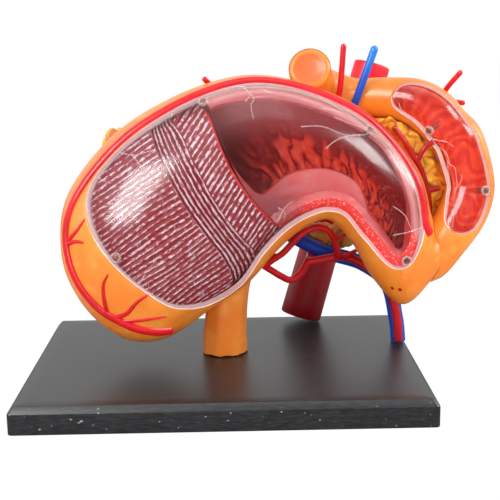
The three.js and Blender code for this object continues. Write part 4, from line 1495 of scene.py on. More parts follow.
@dataclass
class Plate:
    """The black plate: a rounded rectangle with a bevelled top edge.

    Attributes:
        width: Size along X.
        depth: Size along Y.
        height: Its thickness.
        bevel: Width and height of the top bevel.
        corner: Radius of its upright corners.
        soft: Size of the rounding on its edges.
    """

    width: float = 120.0
    depth: float = 88.0
    height: float = PLATE_TOP
    bevel: float = 1.8
    corner: float = 1.0
    soft: float = 0.25

    def build(self) -> None:
        """Carries the plate's edge profile round its outline.

        Formula: each profile point (inset, height) gives a rounded rectangle drawn
        in by the inset, and the rectangles are joined in order.
        """
        soft, bevel, top = self.soft, self.bevel, self.height
        profile = [
            (20.0, 0.0), (soft, 0.0), (0.0, soft), (0.0, top - bevel - soft),
            (soft * 0.35, top - bevel), (bevel - soft * 0.6, top - soft * 0.35),
            (bevel + soft, top), (6.0, top), (24.0, top),
        ]
        turn = np.radians(np.linspace(0, 90, 7))
        rings = np.stack([self._outline(inset, z, turn) for inset, z in profile])
        plate = make_object("stand_plate", skin_of_rings(rings), 28.0)
        dress(plate, Body.BASE, Slot.PLATE, SatinPlate().material(), "base_plate")

    def _outline(self, inset: float, z: float, turn: Array) -> Array:
        """A rounded rectangle at a height, drawn in by an inset.

        Args:
            inset: How far it is drawn in.
            z: Its height.
            turn: Angles of a corner's places, in radians.

        Returns:
            The places round it.
        """
        half = np.array([self.width / 2 - inset, self.depth / 2 - inset])
        radius = max(self.corner - inset * 0.3, 0.3)
        corners = []
        for quarter, sign in enumerate(((1, 1), (-1, 1), (-1, -1), (1, -1))):
            angle = turn + quarter * np.pi / 2
            middle = (half - radius) * np.array(sign)
            corners.append(middle + radius * np.stack([np.cos(angle), np.sin(angle)], -1))
        flat = np.vstack(corners)
        return np.column_stack([flat, np.full(len(flat), z)])


@dataclass
class StomachShells:
    """The stomach's orange wall in two halves, with the window's opening in the front one.

    Attributes:
        thickness: Thickness of the wall.
        seam: How far the rear half stops short of the parting plane, in degrees.
        edge: Radius of the opening's rounded edge.
        undercut: How far the opening widens towards the inside.
    """

    thickness: float = 2.0
    seam: float = 0.12
    edge: float = 0.4
    undercut: float = 2.4

    def build(self, paint: Material) -> None:
        """Builds both halves.

        Args:
            paint: The shell's material.
        """
        front = opened_wall(STOMACH_OPENING, (420, 30), self.edge, self.undercut, self.thickness)
        dress(
            make_object("front_cover_shell", front),
            Body.COVER, Slot.SHELL, paint, "stomach_front_shell",
        )
        rib, turn = grid(np.linspace(0, 11, 150), np.linspace(self.seam, 180 - self.seam, 90))
        back = wall(STOMACH.point(rib, turn), STOMACH.point(rib, turn, -self.thickness))
        dress(make_object("rear_wall_shell", back), Body.ORGAN, Slot.SHELL, paint, "stomach_rear_shell")


@dataclass
class WindowPane:
    """A clear pane with a pale bead painted on its edge as a highlight, raised vessel lines, ring bosses and
    pegs.

    Attributes:
        label: First word of the pieces' names.
        opening: The opening that it fills.
        body: The body that it comes off with.
        node: The pane's node.
        peg_nodes: The pegs' nodes.
        peg_places: Where the pegs stand on the skin.
        lines: Places along each raised line.
        thickness: Thickness of the pane.
        line_radius: Radius of a raised line.
        edge_radius: Radius of the pale painted highlight line on the edge.
        edge_steps: Points round the whole edge.
        pale_edge: Shares of the outline where the painted edge highlight starts and ends.
        rim_widths: Width of the milky rim painted along the edge as its highlight, at its narrow and its
            wide side.
        rim_rise: Angles between which the rim grows wide.
        looks: The materials, by name.
        peg: Radius and height of each circle of a peg, from its foot to its head.
        boss: The same for a ring boss, from its inner foot over its top to its outer foot.
        boss_sides: Points round a ring boss.
    """

    label: str
    opening: Opening
    body: Body
    node: str
    peg_nodes: Sequence[str]
    peg_places: Places
    lines: Sequence[Places]
    thickness: float = 1.5
    line_radius: float = 0.2
    edge_radius: float = 0.17
    edge_steps: int = 420
    pale_edge: tuple[float, float] = (0.0, 1.0)
    rim_widths: tuple[float, float] = (0.5, 2.0)
    rim_rise: tuple[float, float] = (285.0, 322.0)
    looks: dict[str, Material] = field(default_factory=dict)
    peg: Places = ((0.5, -6.6), (0.92, -6.3), (0.92, -0.1), (0.86, 0.16), (0.6, 0.3), (0.28, 0.34))
    boss: Places = (
        (1.0, -0.5), (1.0, 0.16), (1.08, 0.3), (1.24, 0.36), (1.42, 0.3), (1.54, 0.14),
        (1.58, -0.02), (1.58, -0.5),
    )
    boss_sides: int = 32

    def build(self) -> None:
        """Builds the pane and what is moulded on it."""
        skin = self.opening.skin
        places, distance = self.opening.inside(300, 40)
        outer = skin.at(places, rounded(distance, 0.5))
        inner = skin.at(places, -self.thickness)
        # painted highlight: a milky rim along the pane's edge, wider past the rim_rise angles
        low, high = self.rim_widths
        upper = smooth_step(*self.rim_rise, places[..., 1])
        rim = smooth_step(low + (high - low) * upper, 0.0, distance)
        pane = make_object(f"{self.label}_clear_pane", wall(outer, inner, Side.ROUND, {"rim": rim}))
        dress(pane, self.body, Slot.CLEAR, self.looks["clear"], self.node)
        self._edge_line()
        self._raised_lines()
        self._pegs()

    def _edge_line(self) -> None:
        """A pale painted bead along part of the pane's edge: a painted highlight where its cut edge catches
        the light.
        """
        line = self.opening.skin.at(self.opening.edge(self.edge_steps), -0.06)
        share = np.arange(self.edge_steps) / self.edge_steps
        first, last = self.pale_edge
        tip = 0.02
        swell = smooth_step(first, first + tip, share) * smooth_step(last, last - tip, share)
        keep = (share >= first) & (share <= last)
        radius = self.edge_radius * (0.25 + 0.75 * swell)
        bead = make_object(f"{self.label}_pane_edge_highlight", tube(line[keep], radius[keep], 10, 0.5))
        dress(bead, self.body, Slot.CLEAR, self.looks["edge"])

    def _raised_lines(self) -> None:
        """Half-round vessel lines that stand on the pane."""
        sheets = []
        for places in self.lines:
            count = max(2 * len(places), 5)
            line = self.opening.skin.line(places, count, 0.02)
            taper = self.line_radius * (1 - 0.45 * np.linspace(0, 1, count + 1))
            sheets.append(tube(line, taper, 8, 0.5))
        relief = make_object(f"{self.label}_pane_lines", joined(sheets))
        dress(relief, self.body, Slot.CLEAR, self.looks["relief"])

    def _pegs(self) -> None:
        """Clear pegs with brown heads, each in a clear ring boss."""
        rings = []
        for number, (place, node) in enumerate(zip(self.peg_places, self.peg_nodes), 1):
            along, turn = (np.array([v], float) for v in place)
            spot = self.opening.skin.point(along, turn)[0]
            axis = self.opening.skin.normal(along, turn)[0]
            sheet = turned(self.peg, spot, axis)
            sheet.values["along"] = smooth_step(-1.4, -0.2, (sheet.points - spot) @ axis)
            piece = make_object(f"{self.label}_peg_{number}", sheet)
            dress(piece, self.body, Slot.PEG, self.looks["peg"], node)
            rings.append(self._ring(spot, axis))
        moulded = make_object(f"{self.label}_peg_rings", joined(rings))
        dress(moulded, self.body, Slot.CLEAR, self.looks["relief"])

    def _ring(self, spot: Array, axis: Array) -> Sheet:
        """A ring boss: its profile turned on the axis, with the last circle joined to the first.

        Args:
            spot: Where the peg leaves the skin.
            axis: The way outward.

        Returns:
            The closed ring.
        """
        form = turned(self.boss, spot, axis, self.boss_sides)
        ids = np.arange(len(self.boss) * self.boss_sides).reshape(-1, self.boss_sides)
        return Sheet(form.points[: ids.size], [_quads(np.pad(ids, ((0, 1), (0, 1)), "wrap"))])


@dataclass
class GastricLining:
    """The folded lining: the rear wall that shows through the mouth, and the cut front wall.

    Attributes:
        outside: Offset of its outer face from the skin.
        thickness: Thickness of its wall.
        fold_height: Height of the folds.
        section_width: Width of the dotted section along the opening's edge.
        mouth: Places round the mouth cut in its front.
        soft: Noise of the folds and of the hollow's ripple.
    """

    outside: float = -2.3
    thickness: float = 2.4
    fold_height: float = 2.2
    section_width: float = 3.4
    mouth: Places = (
        (5.53, 321), (5.91, 322), (6.35, 322), (6.93, 322), (7.25, 325), (7.53, 328), (7.79, 318),
        (8.09, 307), (8.49, 298), (8.81, 288), (8.93, 272), (8.79, 257), (8.47, 246), (8.07, 239),
        (7.71, 240), (7.47, 255), (7.25, 263), (6.75, 262), (6.39, 258), (5.99, 254), (5.35, 246),
        (5.33, 264), (5.41, 288),
    )
    soft: SoftNoise = field(default_factory=lambda: SoftNoise(11))

    def folds(self, rib: Array, turn: Array) -> Array:
        """Height of the folds from 0 to 1.

        Formula: the size of warped noise, cut off at 1, so that its zero lines are dark
        gaps that run round the stomach, with broad soft folds between them.

        Args:
            rib: Places along, in ribs.
            turn: Angles round.

        Returns:
            Grid of heights.
        """
        rib_length, degree_length = 12.0, 0.34
        flat = np.stack([rib * rib_length, turn * degree_length, np.zeros_like(rib)], -1)
        flat += 1.3 * np.stack([self.soft(flat / 6 + shift) for shift in (3.1, 9.7, 17.3)], -1)
        ridge = np.abs(self.soft(flat / np.array([1.4, 4.4, 4.0])))
        minor = np.abs(self.soft(flat / np.array([1.2, 2.8, 2.0]) + 5.5))
        return np.clip(2.2 * ridge, 0, 1) * 0.75 + np.clip(2.4 * minor, 0, 1) * 0.25

    def build(self) -> None:
        """Builds the rear wall and the cut front wall."""
        rib, turn = grid(np.linspace(0.25, 11, 340), np.linspace(1, 179, 140))
        fold = self.folds(rib, turn)
        fade = smooth_step(0.25, 1.0, rib) * smooth_step(11, 10.2, rib)
        fade = fade * smooth_step(0, 14, np.minimum(turn, 180 - turn))
        outer = STOMACH.point(rib, turn, self.outside)
        # painted light share: 0 towards -X and 1 towards +X, the side that light reaches through the mouth;
        # it also sets how high the folds rise
        bright = smooth_step(-2, 24, outer[..., 0])
        fold *= fade * (0.25 + 0.75 * bright) * (0.2 + 0.8 * smooth_step(66, 98, turn))
        deep = -(self.thickness + self.fold_height * fold)
        inner = STOMACH.point(rib, turn, self.outside + deep)
        # painted light and shade: lit towards +X, in shade towards -X and, by half, at the top under the
        # shell
        tone = bright * (1 - 0.5 * smooth_step(78, 92, inner[..., 2]))
        # painted sheen near the top, standing in for the pane's reflection
        values = {"fold": fold, "tone": tone, "sheen_blend": 0.75 * smooth_step(70, 90, inner[..., 2])}
        rear = make_object("folded_lining", wall(outer, inner, Side.OPEN, values))
        dress(rear, Body.ORGAN, Slot.LINING, FoldedLining().material(), "gastric_lining")
        self._cut_front()

    def _cut_front(self) -> None:
        """The front wall between the mouth and the middle plane.

        Formula: along the lower edge the wall is a flat section, and beyond the
        section's width it drops into a hollow. Its upper side is a thin rim.
        """
        opening = Opening(STOMACH, self.mouth, (7.0, 292), (4.3, 180.5), (11, 359.5))
        places, _ = opening.surround(360, 44)
        rib, turn = places[..., 0], places[..., 1]
        rib = np.maximum(rib, MuscleLayers.edge_rib(MuscleLayers.oblique_edge, turn) + 0.05)
        spots = STOMACH.point(rib, turn)
        far = distance_to(spots, STOMACH.at(STOMACH_OPENING.edge(500)))
        lip = distance_to(spots, STOMACH.at(opening.edge(500)))
        beyond = far - self.section_width
        hollow = smooth_step(0, 0.9, beyond) * smooth_step(278, 262, turn) * (rib < 9.2)
        section = (1 - smooth_step(-0.2, 0.3, beyond)) * smooth_step(304, 292, turn)
        rim = smooth_step(290, 304, turn)
        drop = -2.6 * hollow * smooth_step(0, 0.6, beyond)
        ripple = 0.25 * self.soft(spots / 2.4) * hollow
        outer = STOMACH.point(rib, turn, self.outside + drop + ripple)
        thick = 3.2 - 2.2 * rim
        inner = STOMACH.point(rib, turn, self.outside - thick + np.minimum(drop + 1.8, 0))
        values = {
            "section": section,
            "rim": rim,
            # painted highlight fading from the pane's edge, and painted shade at the end under the muscle
            "sheen_blend": smooth_step(0.6, 4.4, far),
            "painted_shade": 0.75 * smooth_step(6.3, 5.2, rib) * (1 - rim),
            "lip": 0.7 - 0.7 * smooth_step(0.1, 0.5, lip),
        }
        front = make_object("cut_lining_front", wall(outer, inner, Side.ROUND, values))
        dress(front, Body.ORGAN, Slot.LINING, CutWall().material())


@dataclass
class MuscleLayers:
    """The fundus's three muscle layers, stepped one under the other.

    Attributes:
        outside: Offset of the top layer from the skin.
        step: Depth of each step.
        thickness: Thickness of a layer.
        first_rib: Rib where the top layer starts.
        tucked: How far a layer reaches under the one above it, in ribs.
        back: The layers end this many millimetres in front of the middle plane.
        fibre_height: How far a fibre stands out.
        unevenness: How far the fibres rise and fall at random.
        soft: Noise of the fibres.
        longitudinal_edge: Places on the top layer's edge, from the highest angle down.
        circular_edge: The same for the middle layer.
        oblique_edge: The same for the deepest layer.
    """

    outside: float = -2.3
    step: float = 0.6
    thickness: float = 0.75
    first_rib: float = 0.95
    tucked: float = 0.3
    back: float = 5.0
    fibre_height: float = 0.26
    unevenness: float = 0.12
    soft: SoftNoise = field(default_factory=lambda: SoftNoise(5))

    longitudinal_edge = ((5.03, 332), (4.93, 312), (4.71, 293), (4.49, 273), (4.07, 250), (3.21, 217))
    circular_edge = (
        (5.25, 330), (5.19, 309), (5.09, 290), (4.93, 274), (4.71, 258), (4.39, 238), (3.85, 207),
    )
    oblique_edge = (
        (5.53, 338), (5.51, 316), (5.39, 288), (5.29, 272), (5.17, 257), (5.07, 242), (4.93, 224),
    )

    @staticmethod
    def edge_rib(edge: Places, turn: Array) -> Array:
        """Rib of a layer's edge at an angle.

        Formula: a cubic fitted through the edge's places, carried on straight beyond
        the last ones.

        Args:
            edge: Places on the edge, from the highest angle down.
            turn: Angles.

        Returns:
            The ribs.
        """
        rows = np.array(edge, float)
        fit = np.polynomial.Polynomial.fit(rows[:, 1], rows[:, 0], 3)
        held = np.clip(turn, rows[-1, 1], rows[0, 1])
        ends = [(rows[i, 0] - rows[j, 0]) / (rows[i, 1] - rows[j, 1]) for i, j in ((0, 1), (-1, -2))]
        slope = np.where(turn > held, ends[0], ends[1])
        return fit(held) + slope * (turn - held)

    def _layer(
        self, name: str, depth: float, edges: Sequence[Places], counts: tuple[int, int], stripes: Stripes
    ) -> Piece:
        """One layer as a thin wall whose face rises in fibres.

        Formula: the ribs run at each angle from the layer's start to its last edge, and
        the face stands out by the fibre's height times the cosine of a full turn for
        each fibre.

        Args:
            name: The piece's name.
            depth: Offset of its face from the skin.
            edges: The edge of the layer above, if there is one, and its own.
            counts: Rows and columns of its grid.
            stripes: Gives the counts across and along the fibres from rib and angle.

        Returns:
            The object.
        """
        share = np.linspace(0, 1, counts[0])[:, None]
        widest = np.array([3.0])
        rough = self._limit(widest)[0]
        turn = np.linspace(180 + rough, 360 - rough, counts[1])[None, :]
        *above, own = (self.edge_rib(edge, turn) for edge in edges)
        start = above[0] - self.tucked if above else np.full_like(turn, self.first_rib)
        rib = start + (own - start) * share
        limit = self._limit(rib)
        turn = np.clip(np.broadcast_to(turn, rib.shape), 180 + limit, 360 - limit)
        across, along = stripes(rib, turn)
        fibre = self.fibre_height * np.cos(2 * np.pi * across)
        fibre += self.unevenness * self.soft(np.stack([across * 2, along, across], -1))
        border = smooth_step(0, 0.03, np.minimum(share, 1 - share))
        outer = STOMACH.point(rib, turn, depth + fibre * border - 0.1)
        inner = STOMACH.point(rib, turn, depth - self.thickness)
        values = {"across": across, "along": along}
        return make_object(name, wall(outer, inner, Side.OPEN, values), 60.0)

    def _limit(self, rib: Array) -> Array:
        """Degrees from the middle plane at which the layers end."""
        return np.degrees(np.arcsin(np.clip(self.back / STOMACH.depth(rib), 0, 0.98)))

    def build(self) -> None:
        """Builds the three layers and the red edge of the deepest one."""
        top, ring, deep = self.longitudinal_edge, self.circular_edge, self.oblique_edge
        layers = (
            ("longitudinal", (top,), (230, 150), self._slanted(34, 1.65, 0.5), (0.6, 0.9)),
            ("circular", (top, ring), (90, 150), self._round_fibres, (0.85, 0.0)),
            ("oblique", (ring, deep), (90, 200), self._slanted(58, 1.75, 0.4), (0.75, 0.5)),
        )
        for number, (name, edges, counts, stripes, (cover, stray)) in enumerate(layers):
            depth = self.outside - number * self.step
            layer = self._layer(f"muscle_{name}", depth, edges, counts, stripes)
            look = BrushedMuscle(f"muscle_{name}_paint", cover=cover, stray=stray)
            nodes = () if number else ("muscle_layer_panel",)
            dress(layer, Body.ORGAN, Slot.MUSCLE, look.material(), *nodes)
        turn = np.linspace(208, 338, 60)
        rib = self.edge_rib(self.oblique_edge, turn) + 0.01
        line = STOMACH.point(rib, turn, self.outside - 2 * self.step - 0.15)
        edge = make_object("muscle_cut_edge", tube(line, 0.3, 10, 0.6))
        dress(edge, Body.ORGAN, Slot.MUSCLE, material_of(RED))

    def _slanted(self, angle: float, pitch: float, sway: float) -> Stripes:
        """Fibres that look straight from the front, at an angle above the horizontal.

        Args:
            angle: Their slant in degrees.
            pitch: Distance between them in millimetres.
            sway: How far they wander, in pitches.

        Returns:
            The function that gives the counts across and along them.
        """
        slant = math.radians(angle)

        def stripes(rib: Array, turn: Array) -> tuple[Array, Array]:
            """Counts fibres over x and z turned by the slant, and millimetres along them.

            Args:
                rib: Places along, in ribs.
                turn: Angles round.

            Returns:
                The counts across and the millimetres along.
            """
            x, _, z = np.moveaxis(STOMACH.point(rib, turn), -1, 0)
            over = -x * math.sin(slant) + z * math.cos(slant)
            along = x * math.cos(slant) + z * math.sin(slant)
            drift = self.soft(np.stack([over / 9, along / 14, over * 0], -1))
            return over / pitch + sway * drift, along

        return stripes

    def _round_fibres(self, rib: Array, turn: Array) -> tuple[Array, Array]:
        """Counts fibres from the longitudinal layer's edge to the circular layer's.

        Args:
            rib: Places along, in ribs.
            turn: Angles round.

        Returns:
            The counts across and the millimetres along.
        """
        first = self.edge_rib(self.longitudinal_edge, turn)
        last = self.edge_rib(self.circular_edge, turn)
        along = turn * 0.36
        drift = self.soft(np.stack([rib * 3, along / 10, rib * 0], -1))
        return (rib - first) / (last - first) * 6.5 + 0.18 * drift, along


@dataclass
class ArteryBand:
    """The red band that follows the greater curvature, with its branches.

    Attributes:
        width: Width of the band.
        rise: How far it stands out.
        branch_width: Width of a branch.
        branch_rise: How far it stands out.
        route: Places along the band.
        branches: Places along each branch.
        dots: Places of the two painted dots under the antrum.
    """

    width: float = 2.9
    rise: float = 1.05
    branch_width: float = 1.7
    branch_rise: float = 0.6
    route: Places = (
        (1.48, 235), (1.5, 253), (1.64, 274), (1.88, 291), (2.14, 307), (2.56, 320), (3.08, 330),
        (3.46, 334), (3.96, 334), (4.5, 334), (5.08, 335.4), (5.62, 338), (6.1, 339.6), (6.64, 338.6),
        (7.22, 336.6), (7.74, 332), (8.26, 322.5), (8.9, 313), (9.3, 316),
    )
    branches: tuple[Places, ...] = (
        ((1.9, 300), (2.44, 299), (2.78, 298), (3.02, 295)),
        ((1.9, 296), (2.16, 282), (2.5, 275), (2.74, 269)),
        ((1.86, 290), (1.98, 269), (2.12, 250)),
        ((3.24, 334), (3.54, 322), (3.78, 317)),
        ((3.24, 334), (3.38, 322), (3.42, 314)),
    )
    dots: Places = ((9.35, 220.0), (9.51, 230.0))

    def _strip(self, places: Places, width: float, rise: float, far: float) -> Sheet:
        """An arched strip on the skin.

        Formula: round the strip, across is the half width times cos t and the height
        is the rise times sin t above the skin and a little of it below, and both
        shrink towards the ends.

        Args:
            places: Places along it.
            width: Its width.
            rise: How far it stands out.
            far: Its size at the far end, as a share of the near end's.

        Returns:
            The closed strip.
        """
        spots = catmull(places, np.linspace(0, len(places) - 1, 14 * len(places)))
        line = STOMACH.at(spots)
        out = STOMACH.normal(spots[:, 0], spots[:, 1])
        side = unit(np.cross(np.gradient(line, axis=0), out))
        share = np.linspace(0, 1, len(line))
        length = np.linalg.norm(np.diff(line, axis=0), axis=1).sum()
        tip = np.sqrt(np.clip(np.minimum(share, 1 - share) * length / (width * 0.6), 0.02, 1))
        size = (1 + (far - 1) * share) * tip
        angle = circle_angles(16)
        up = np.where(np.sin(angle) > 0, np.sin(angle), 0.28 * np.sin(angle))
        rings = (
            line[:, None]
            + side[:, None] * (np.cos(angle)[:, None] * width / 2 * size[:, None, None])
            + out[:, None] * (up[:, None] * rise * np.sqrt(size)[:, None, None])
        )
        return skin_of_rings(rings)

    def build(self) -> None:
        """Builds the band with its branches, and the two painted dots under the antrum."""
        strips = [self._strip(self.route, self.width, self.rise, 1.14)]
        strips += [
            self._strip(places, self.branch_width, self.branch_rise, 0.35) for places in self.branches
        ]
        band = make_object("curvature_artery_band", joined(strips))
        dress(band, Body.COVER, Slot.ARTERY, material_of(RED), "gastroepiploic_artery")
        profile = [(0.5, -0.3), (0.62, 0.0), (0.5, 0.09), (0.2, 0.12)]
        where = np.array(self.dots)
        spots, ways = STOMACH.at(where), STOMACH.normal(where[:, 0], where[:, 1])
        dots = [turned(profile, spot, way, 16) for spot, way in zip(spots, ways)]
        painted = make_object("antrum_dots", joined(dots))
        dress(painted, Body.COVER, Slot.ARTERY, material_of(DARK_RED))


@dataclass
class Esophagus:
    """The esophagus: a softly fluted foot that flares into the stomach.

    Attributes:
        foot: x and y of its foot.
        rise: Shift in x and height of each step of its route.
        radii: Its radius at each step.
        flutes: Number of flutes round it.
    """

    foot: tuple[float, float] = (0.0, 4.0)
    rise: Places = ((0, 0.3), (0, 7), (0.7, 15), (1.8, 23), (3, 31))
    radii: tuple[float, ...] = (7.1, 6.9, 6.5, 6.6, 8.4)
    flutes: int = 7

    def build(self, core: Piece, paint: Material) -> None:
        """Builds the fluted foot and trims it at the stomach.

        Formula: the radius at angle t is the route's own, times one plus three
        percent of cos(flutes t), and the lowest rings wave up and down a little.

        Args:
            core: The stomach's solid.
            paint: The shell's material.
        """
        x, y = self.foot
        route = lifted([(x + shift, y, height) for shift, height in self.rise])
        at = np.linspace(0, len(route) - 1, 60)
        spots, radius = catmull(route, at), catmull(np.array(self.radii)[:, None], at)[:, 0]
        angle = circle_angles(72)
        flute = 1 + 0.028 * np.cos(self.flutes * angle) + 0.016 * np.cos(3 * angle + 1)
        size = radius[:, None] * flute
        circle = np.stack([np.cos(angle), np.sin(angle), 0 * angle], -1)
        rings = spots[:, None] + size[..., None] * circle
        ragged = 0.18 + 0.18 * np.cos(9 * angle + 0.7) + 0.1 * np.cos(23 * angle)
        low = rings[:3, :, 2] + ragged * np.array([1, 0.6, 0.2])[:, None]
        rings[:3, :, 2] = np.maximum(low, FOOT_LEVEL)
        lip = rings[:1].copy()
        lip[0, :, :2] = spots[0, :2] + (lip[0, :, :2] - spots[0, :2]) * 0.95
        lip[0, :, 2] = FOOT_LEVEL
        piece = make_object("fluted_esophagus", skin_of_rings(np.concatenate([lip, rings])), 50.0)
        cut_away(piece, core)
        dress(piece, Body.ORGAN, Slot.SHELL, paint, "esophagus")


@dataclass
class DuodenumShells:
    """The duodenum's orange wall in two halves, its lining and the jejunum's stub.

    Attributes:
        thickness: Thickness of the wall.
        lining_gap: Gap between the wall and the lining.
        edge: Radius of the opening's rounded edge.
        undercut: How far the opening widens towards the inside.
        seam: How far the rear half stops short of the parting plane, in degrees.
        lining_ends: Stations where the lining starts and ends.
        lining_opening: Angles between which it is open.
        lining_wall: Thickness of the lining under its folds.
        ring_rise: Height of the folds.
        ring_pitch: Distance from one ring fold to the next.
        station_length: Length of a station along the duodenum.
        jejunum: Centre and radius at each step of the stub.
        rim: Radius and distance out of each circle of its end, as shares and millimetres.
        soft: Noise of the folds.
    """

    thickness: float = 1.6
    lining_gap: float = 0.4
    edge: float = 0.4
    undercut: float = 1.0
    seam: float = 0.6
    lining_ends: tuple[float, float] = (1.9, 10.2)
    lining_opening: tuple[float, float] = (-80.0, 63.0)
    lining_wall: float = 0.8
    ring_rise: float = 0.35
    ring_pitch: float = 3.2
    station_length: float = 6.4
    jejunum: tuple[tuple[float, ...], ...] = (
        (42.1, 17.7, 79.3, 6.05), (36.5, 19, 80.9, 6.35), (31, 16, 83.4, 6.4),
        (28.3, 10, 86.6, 6.4), (27.2, 3, 89.2, 6.4),
    )
    rim: Places = (
        (1.0, 0.0), (0.99, 0.4), (0.955, 0.8), (0.9, 1.1), (0.83, 1.28), (0.76, 1.3),
        (0.69, 1.18), (0.61, 0.98), (0.5, 0.78), (0.35, 0.64), (0.16, 0.58),
    )
    soft: SoftNoise = field(default_factory=lambda: SoftNoise(23))

    def build(self, core: Piece, paint: Material) -> None:
        """Builds the halves, trimmed at the stomach, then the lining and the stub.

        Args:
            core: The stomach's solid.
            paint: The shell's material.
        """
        front = opened_wall(DUODENUM_OPENING, (300, 20), self.edge, self.undercut, self.thickness)
        station, turn = grid(np.linspace(0, 12, 130), np.linspace(90 + self.seam, 270 - self.seam, 44))
        back = wall(DUODENUM.point(station, turn), DUODENUM.point(station, turn, -self.thickness))
        for side, sheet in (("front", front), ("rear", back)):
            piece = make_object(f"duodenum_{side}_wall", sheet)
            cut_away(piece, core)
            dress(piece, Body.ORGAN, Slot.SHELL, paint, f"duodenum_{side}_shell")
        self._lining()
        self._stub()

    def _lining(self) -> None:
        """The ring-folded lining, open towards the window.

        Formula: the inner face rises in rounded rings, one at each ring pitch, that
        wander with soft noise.
        """
        low, high = self.lining_opening
        station, turn = grid(np.linspace(*self.lining_ends, 260), np.linspace(high, 360 + low, 110))
        spots = DUODENUM.point(station, turn)
        count = station * self.station_length / self.ring_pitch + 0.9 * self.soft(spots / 5.5)
        ring = 0.5 + 0.5 * np.sin(2 * np.pi * count)
        fold = 0.6 * ring + 0.4 * np.abs(self.soft(spots / 2.6))
        outside = -self.thickness - self.lining_gap
        face = outside - self.lining_wall - self.ring_rise * fold
        outer = DUODENUM.point(station, turn, outside)
        inner = DUODENUM.point(station, turn, face)
        # painted shade in the gaps: the lining's colours follow the folds' height, and the gaps mix in up to
        # 40 percent of its second colour pair
        tone = smooth_step(0, 0.3, fold) * 0.4 + 0.6
        sheet = wall(outer, inner, Side.OPEN, {"fold": fold, "tone": tone})
        piece = make_object("ring_folded_lining", sheet)
        dress(piece, Body.ORGAN, Slot.LINING, RING_LINING.material(), "duodenal_lining")

    def _stub(self) -> None:
        """The cut-off jejunum with a soft rim and a dished end.

        Formula: circles along the route, and beyond it the rim's circles, which first
        grow out to its height and then dish in.
        """
        rows = np.array(self.jejunum)
        at = np.linspace(0, len(rows) - 1, 52)
        line = catmull(rows, at) + np.array([0, 0, PLATE_TOP, 0])
        spots, radius = line[:, :3], line[:, 3]
        tangents = unit(np.gradient(spots, axis=0))
        end, ahead, size = spots[-1], tangents[-1], radius[-1]
        rim = np.array(self.rim)
        spots = np.vstack([spots[:-1], end + ahead * (rim[:, 1:] - rim[:, 1].max())])
        radius = np.concatenate([radius[:-1], size * rim[:, 0]])
        tangents = np.vstack([tangents[:-1], np.repeat(ahead[None], len(rim), 0)])
        along = np.concatenate([np.zeros(len(at) - 1), smooth_step(1.0, 0.62, rim[:, 0])])
        sheet = skin_of_rings(_rings(spots, _carried_axes(tangents), radius, 64), {"along": along})
        piece = make_object("jejunum_end", sheet, 60.0)
        dress(piece, Body.ORGAN, Slot.SHELL, STUB_ORANGE.material(), "jejunum_stub")


@dataclass
class Pancreas:
    """The pancreas: the node's form, remeshed and pressed into small lobes.

    Attributes:
        voxel: Cell of the remeshing.
        lobe: Size of a lobe.
        depth: Depth of the creases.
        loop_side: Middle of the swelling towards the duodenum's loop.
        loop_swell: How far it swells there, along X.
        tail_tip: Middle of the swelling at the tail.
        tail_swell: How far it swells there, all round.
        reach: Spread of both swellings: twice the square of the bell curve's width.
    """

    voxel: float = 0.5
    lobe: float = 4.2
    depth: float = 0.8
    loop_side: tuple[float, float, float] = (69.5, 11.0, 60.0)
    loop_swell: float = 3.0
    tail_tip: tuple[float, float, float] = (-35.0, 13.0, 75.5)
    tail_swell: float = 1.4
    reach: float = 40.0

    def build(self, node: Piece) -> None:
        """Builds the lobed gland over the node's form.

        Formula: with the distances to the nearest and second nearest cell point, a
        crease is where they are almost equal, and the skin moves in there. Near the
        duodenum's loop it also swells by a bell curve towards the loop, and at the
        tail's tip all round.

        Args:
            node: The pancreas's node.
        """
        mesh = node.data.copy()
        mesh.name = "lobed_pancreas"
        mesh.materials.clear()
        piece = bpy.data.objects.new("lobed_pancreas", mesh)
        bpy.context.scene.collection.objects.link(piece)
        tidy_mesh(mesh)
        fuse(piece, self.voxel, 6)
        mesh = piece.data
        count = len(mesh.vertices)
        spots, out = np.empty(count * 3, np.float32), np.empty(count * 3, np.float32)
        mesh.vertices.foreach_get("co", spots)
        mesh.vertices.foreach_get("normal", out)
        spots, out = (numbers.reshape(-1, 3).astype(float) for numbers in (spots, out))
        spots /= MM
        sway = SoftNoise(41)
        bent = spots + 1.7 * np.stack([sway(spots / 2.6 + shift) for shift in (1.5, 7.5, 13.5)], -1)
        near, second = CellNoise(8)(bent / self.lobe)
        lobe = smooth_step(0.0, 0.5, second - near) * (0.75 + 0.25 * sway(spots / 1.5))
        moved = spots + out * (-self.depth * (1 - lobe) + 0.25)[:, None]
        near_loop, near_tail = (
            np.exp(-np.sum((spots - np.array(middle)) ** 2, axis=1) / self.reach)
            for middle in (self.loop_side, self.tail_tip)
        )
        moved[:, 0] += self.loop_swell * near_loop
        moved += out * self.tail_swell * near_tail[:, None]
        mesh.vertices.foreach_set("co", (moved * MM).astype(np.float32).ravel())
        mesh.update()
        # painted shadow: darker under the stomach's arch, where x and z are low
        painted_shade = smooth_step(52, 30, spots[:, 0]) * smooth_step(62, 50, spots[:, 2])
        carry(mesh, {"lobe": lobe, "painted_shade": painted_shade})
        shade(mesh, SMOOTH)
        dress(piece, Body.ORGAN, Slot.PANCREAS, LobedGland().material(), "pancreas")


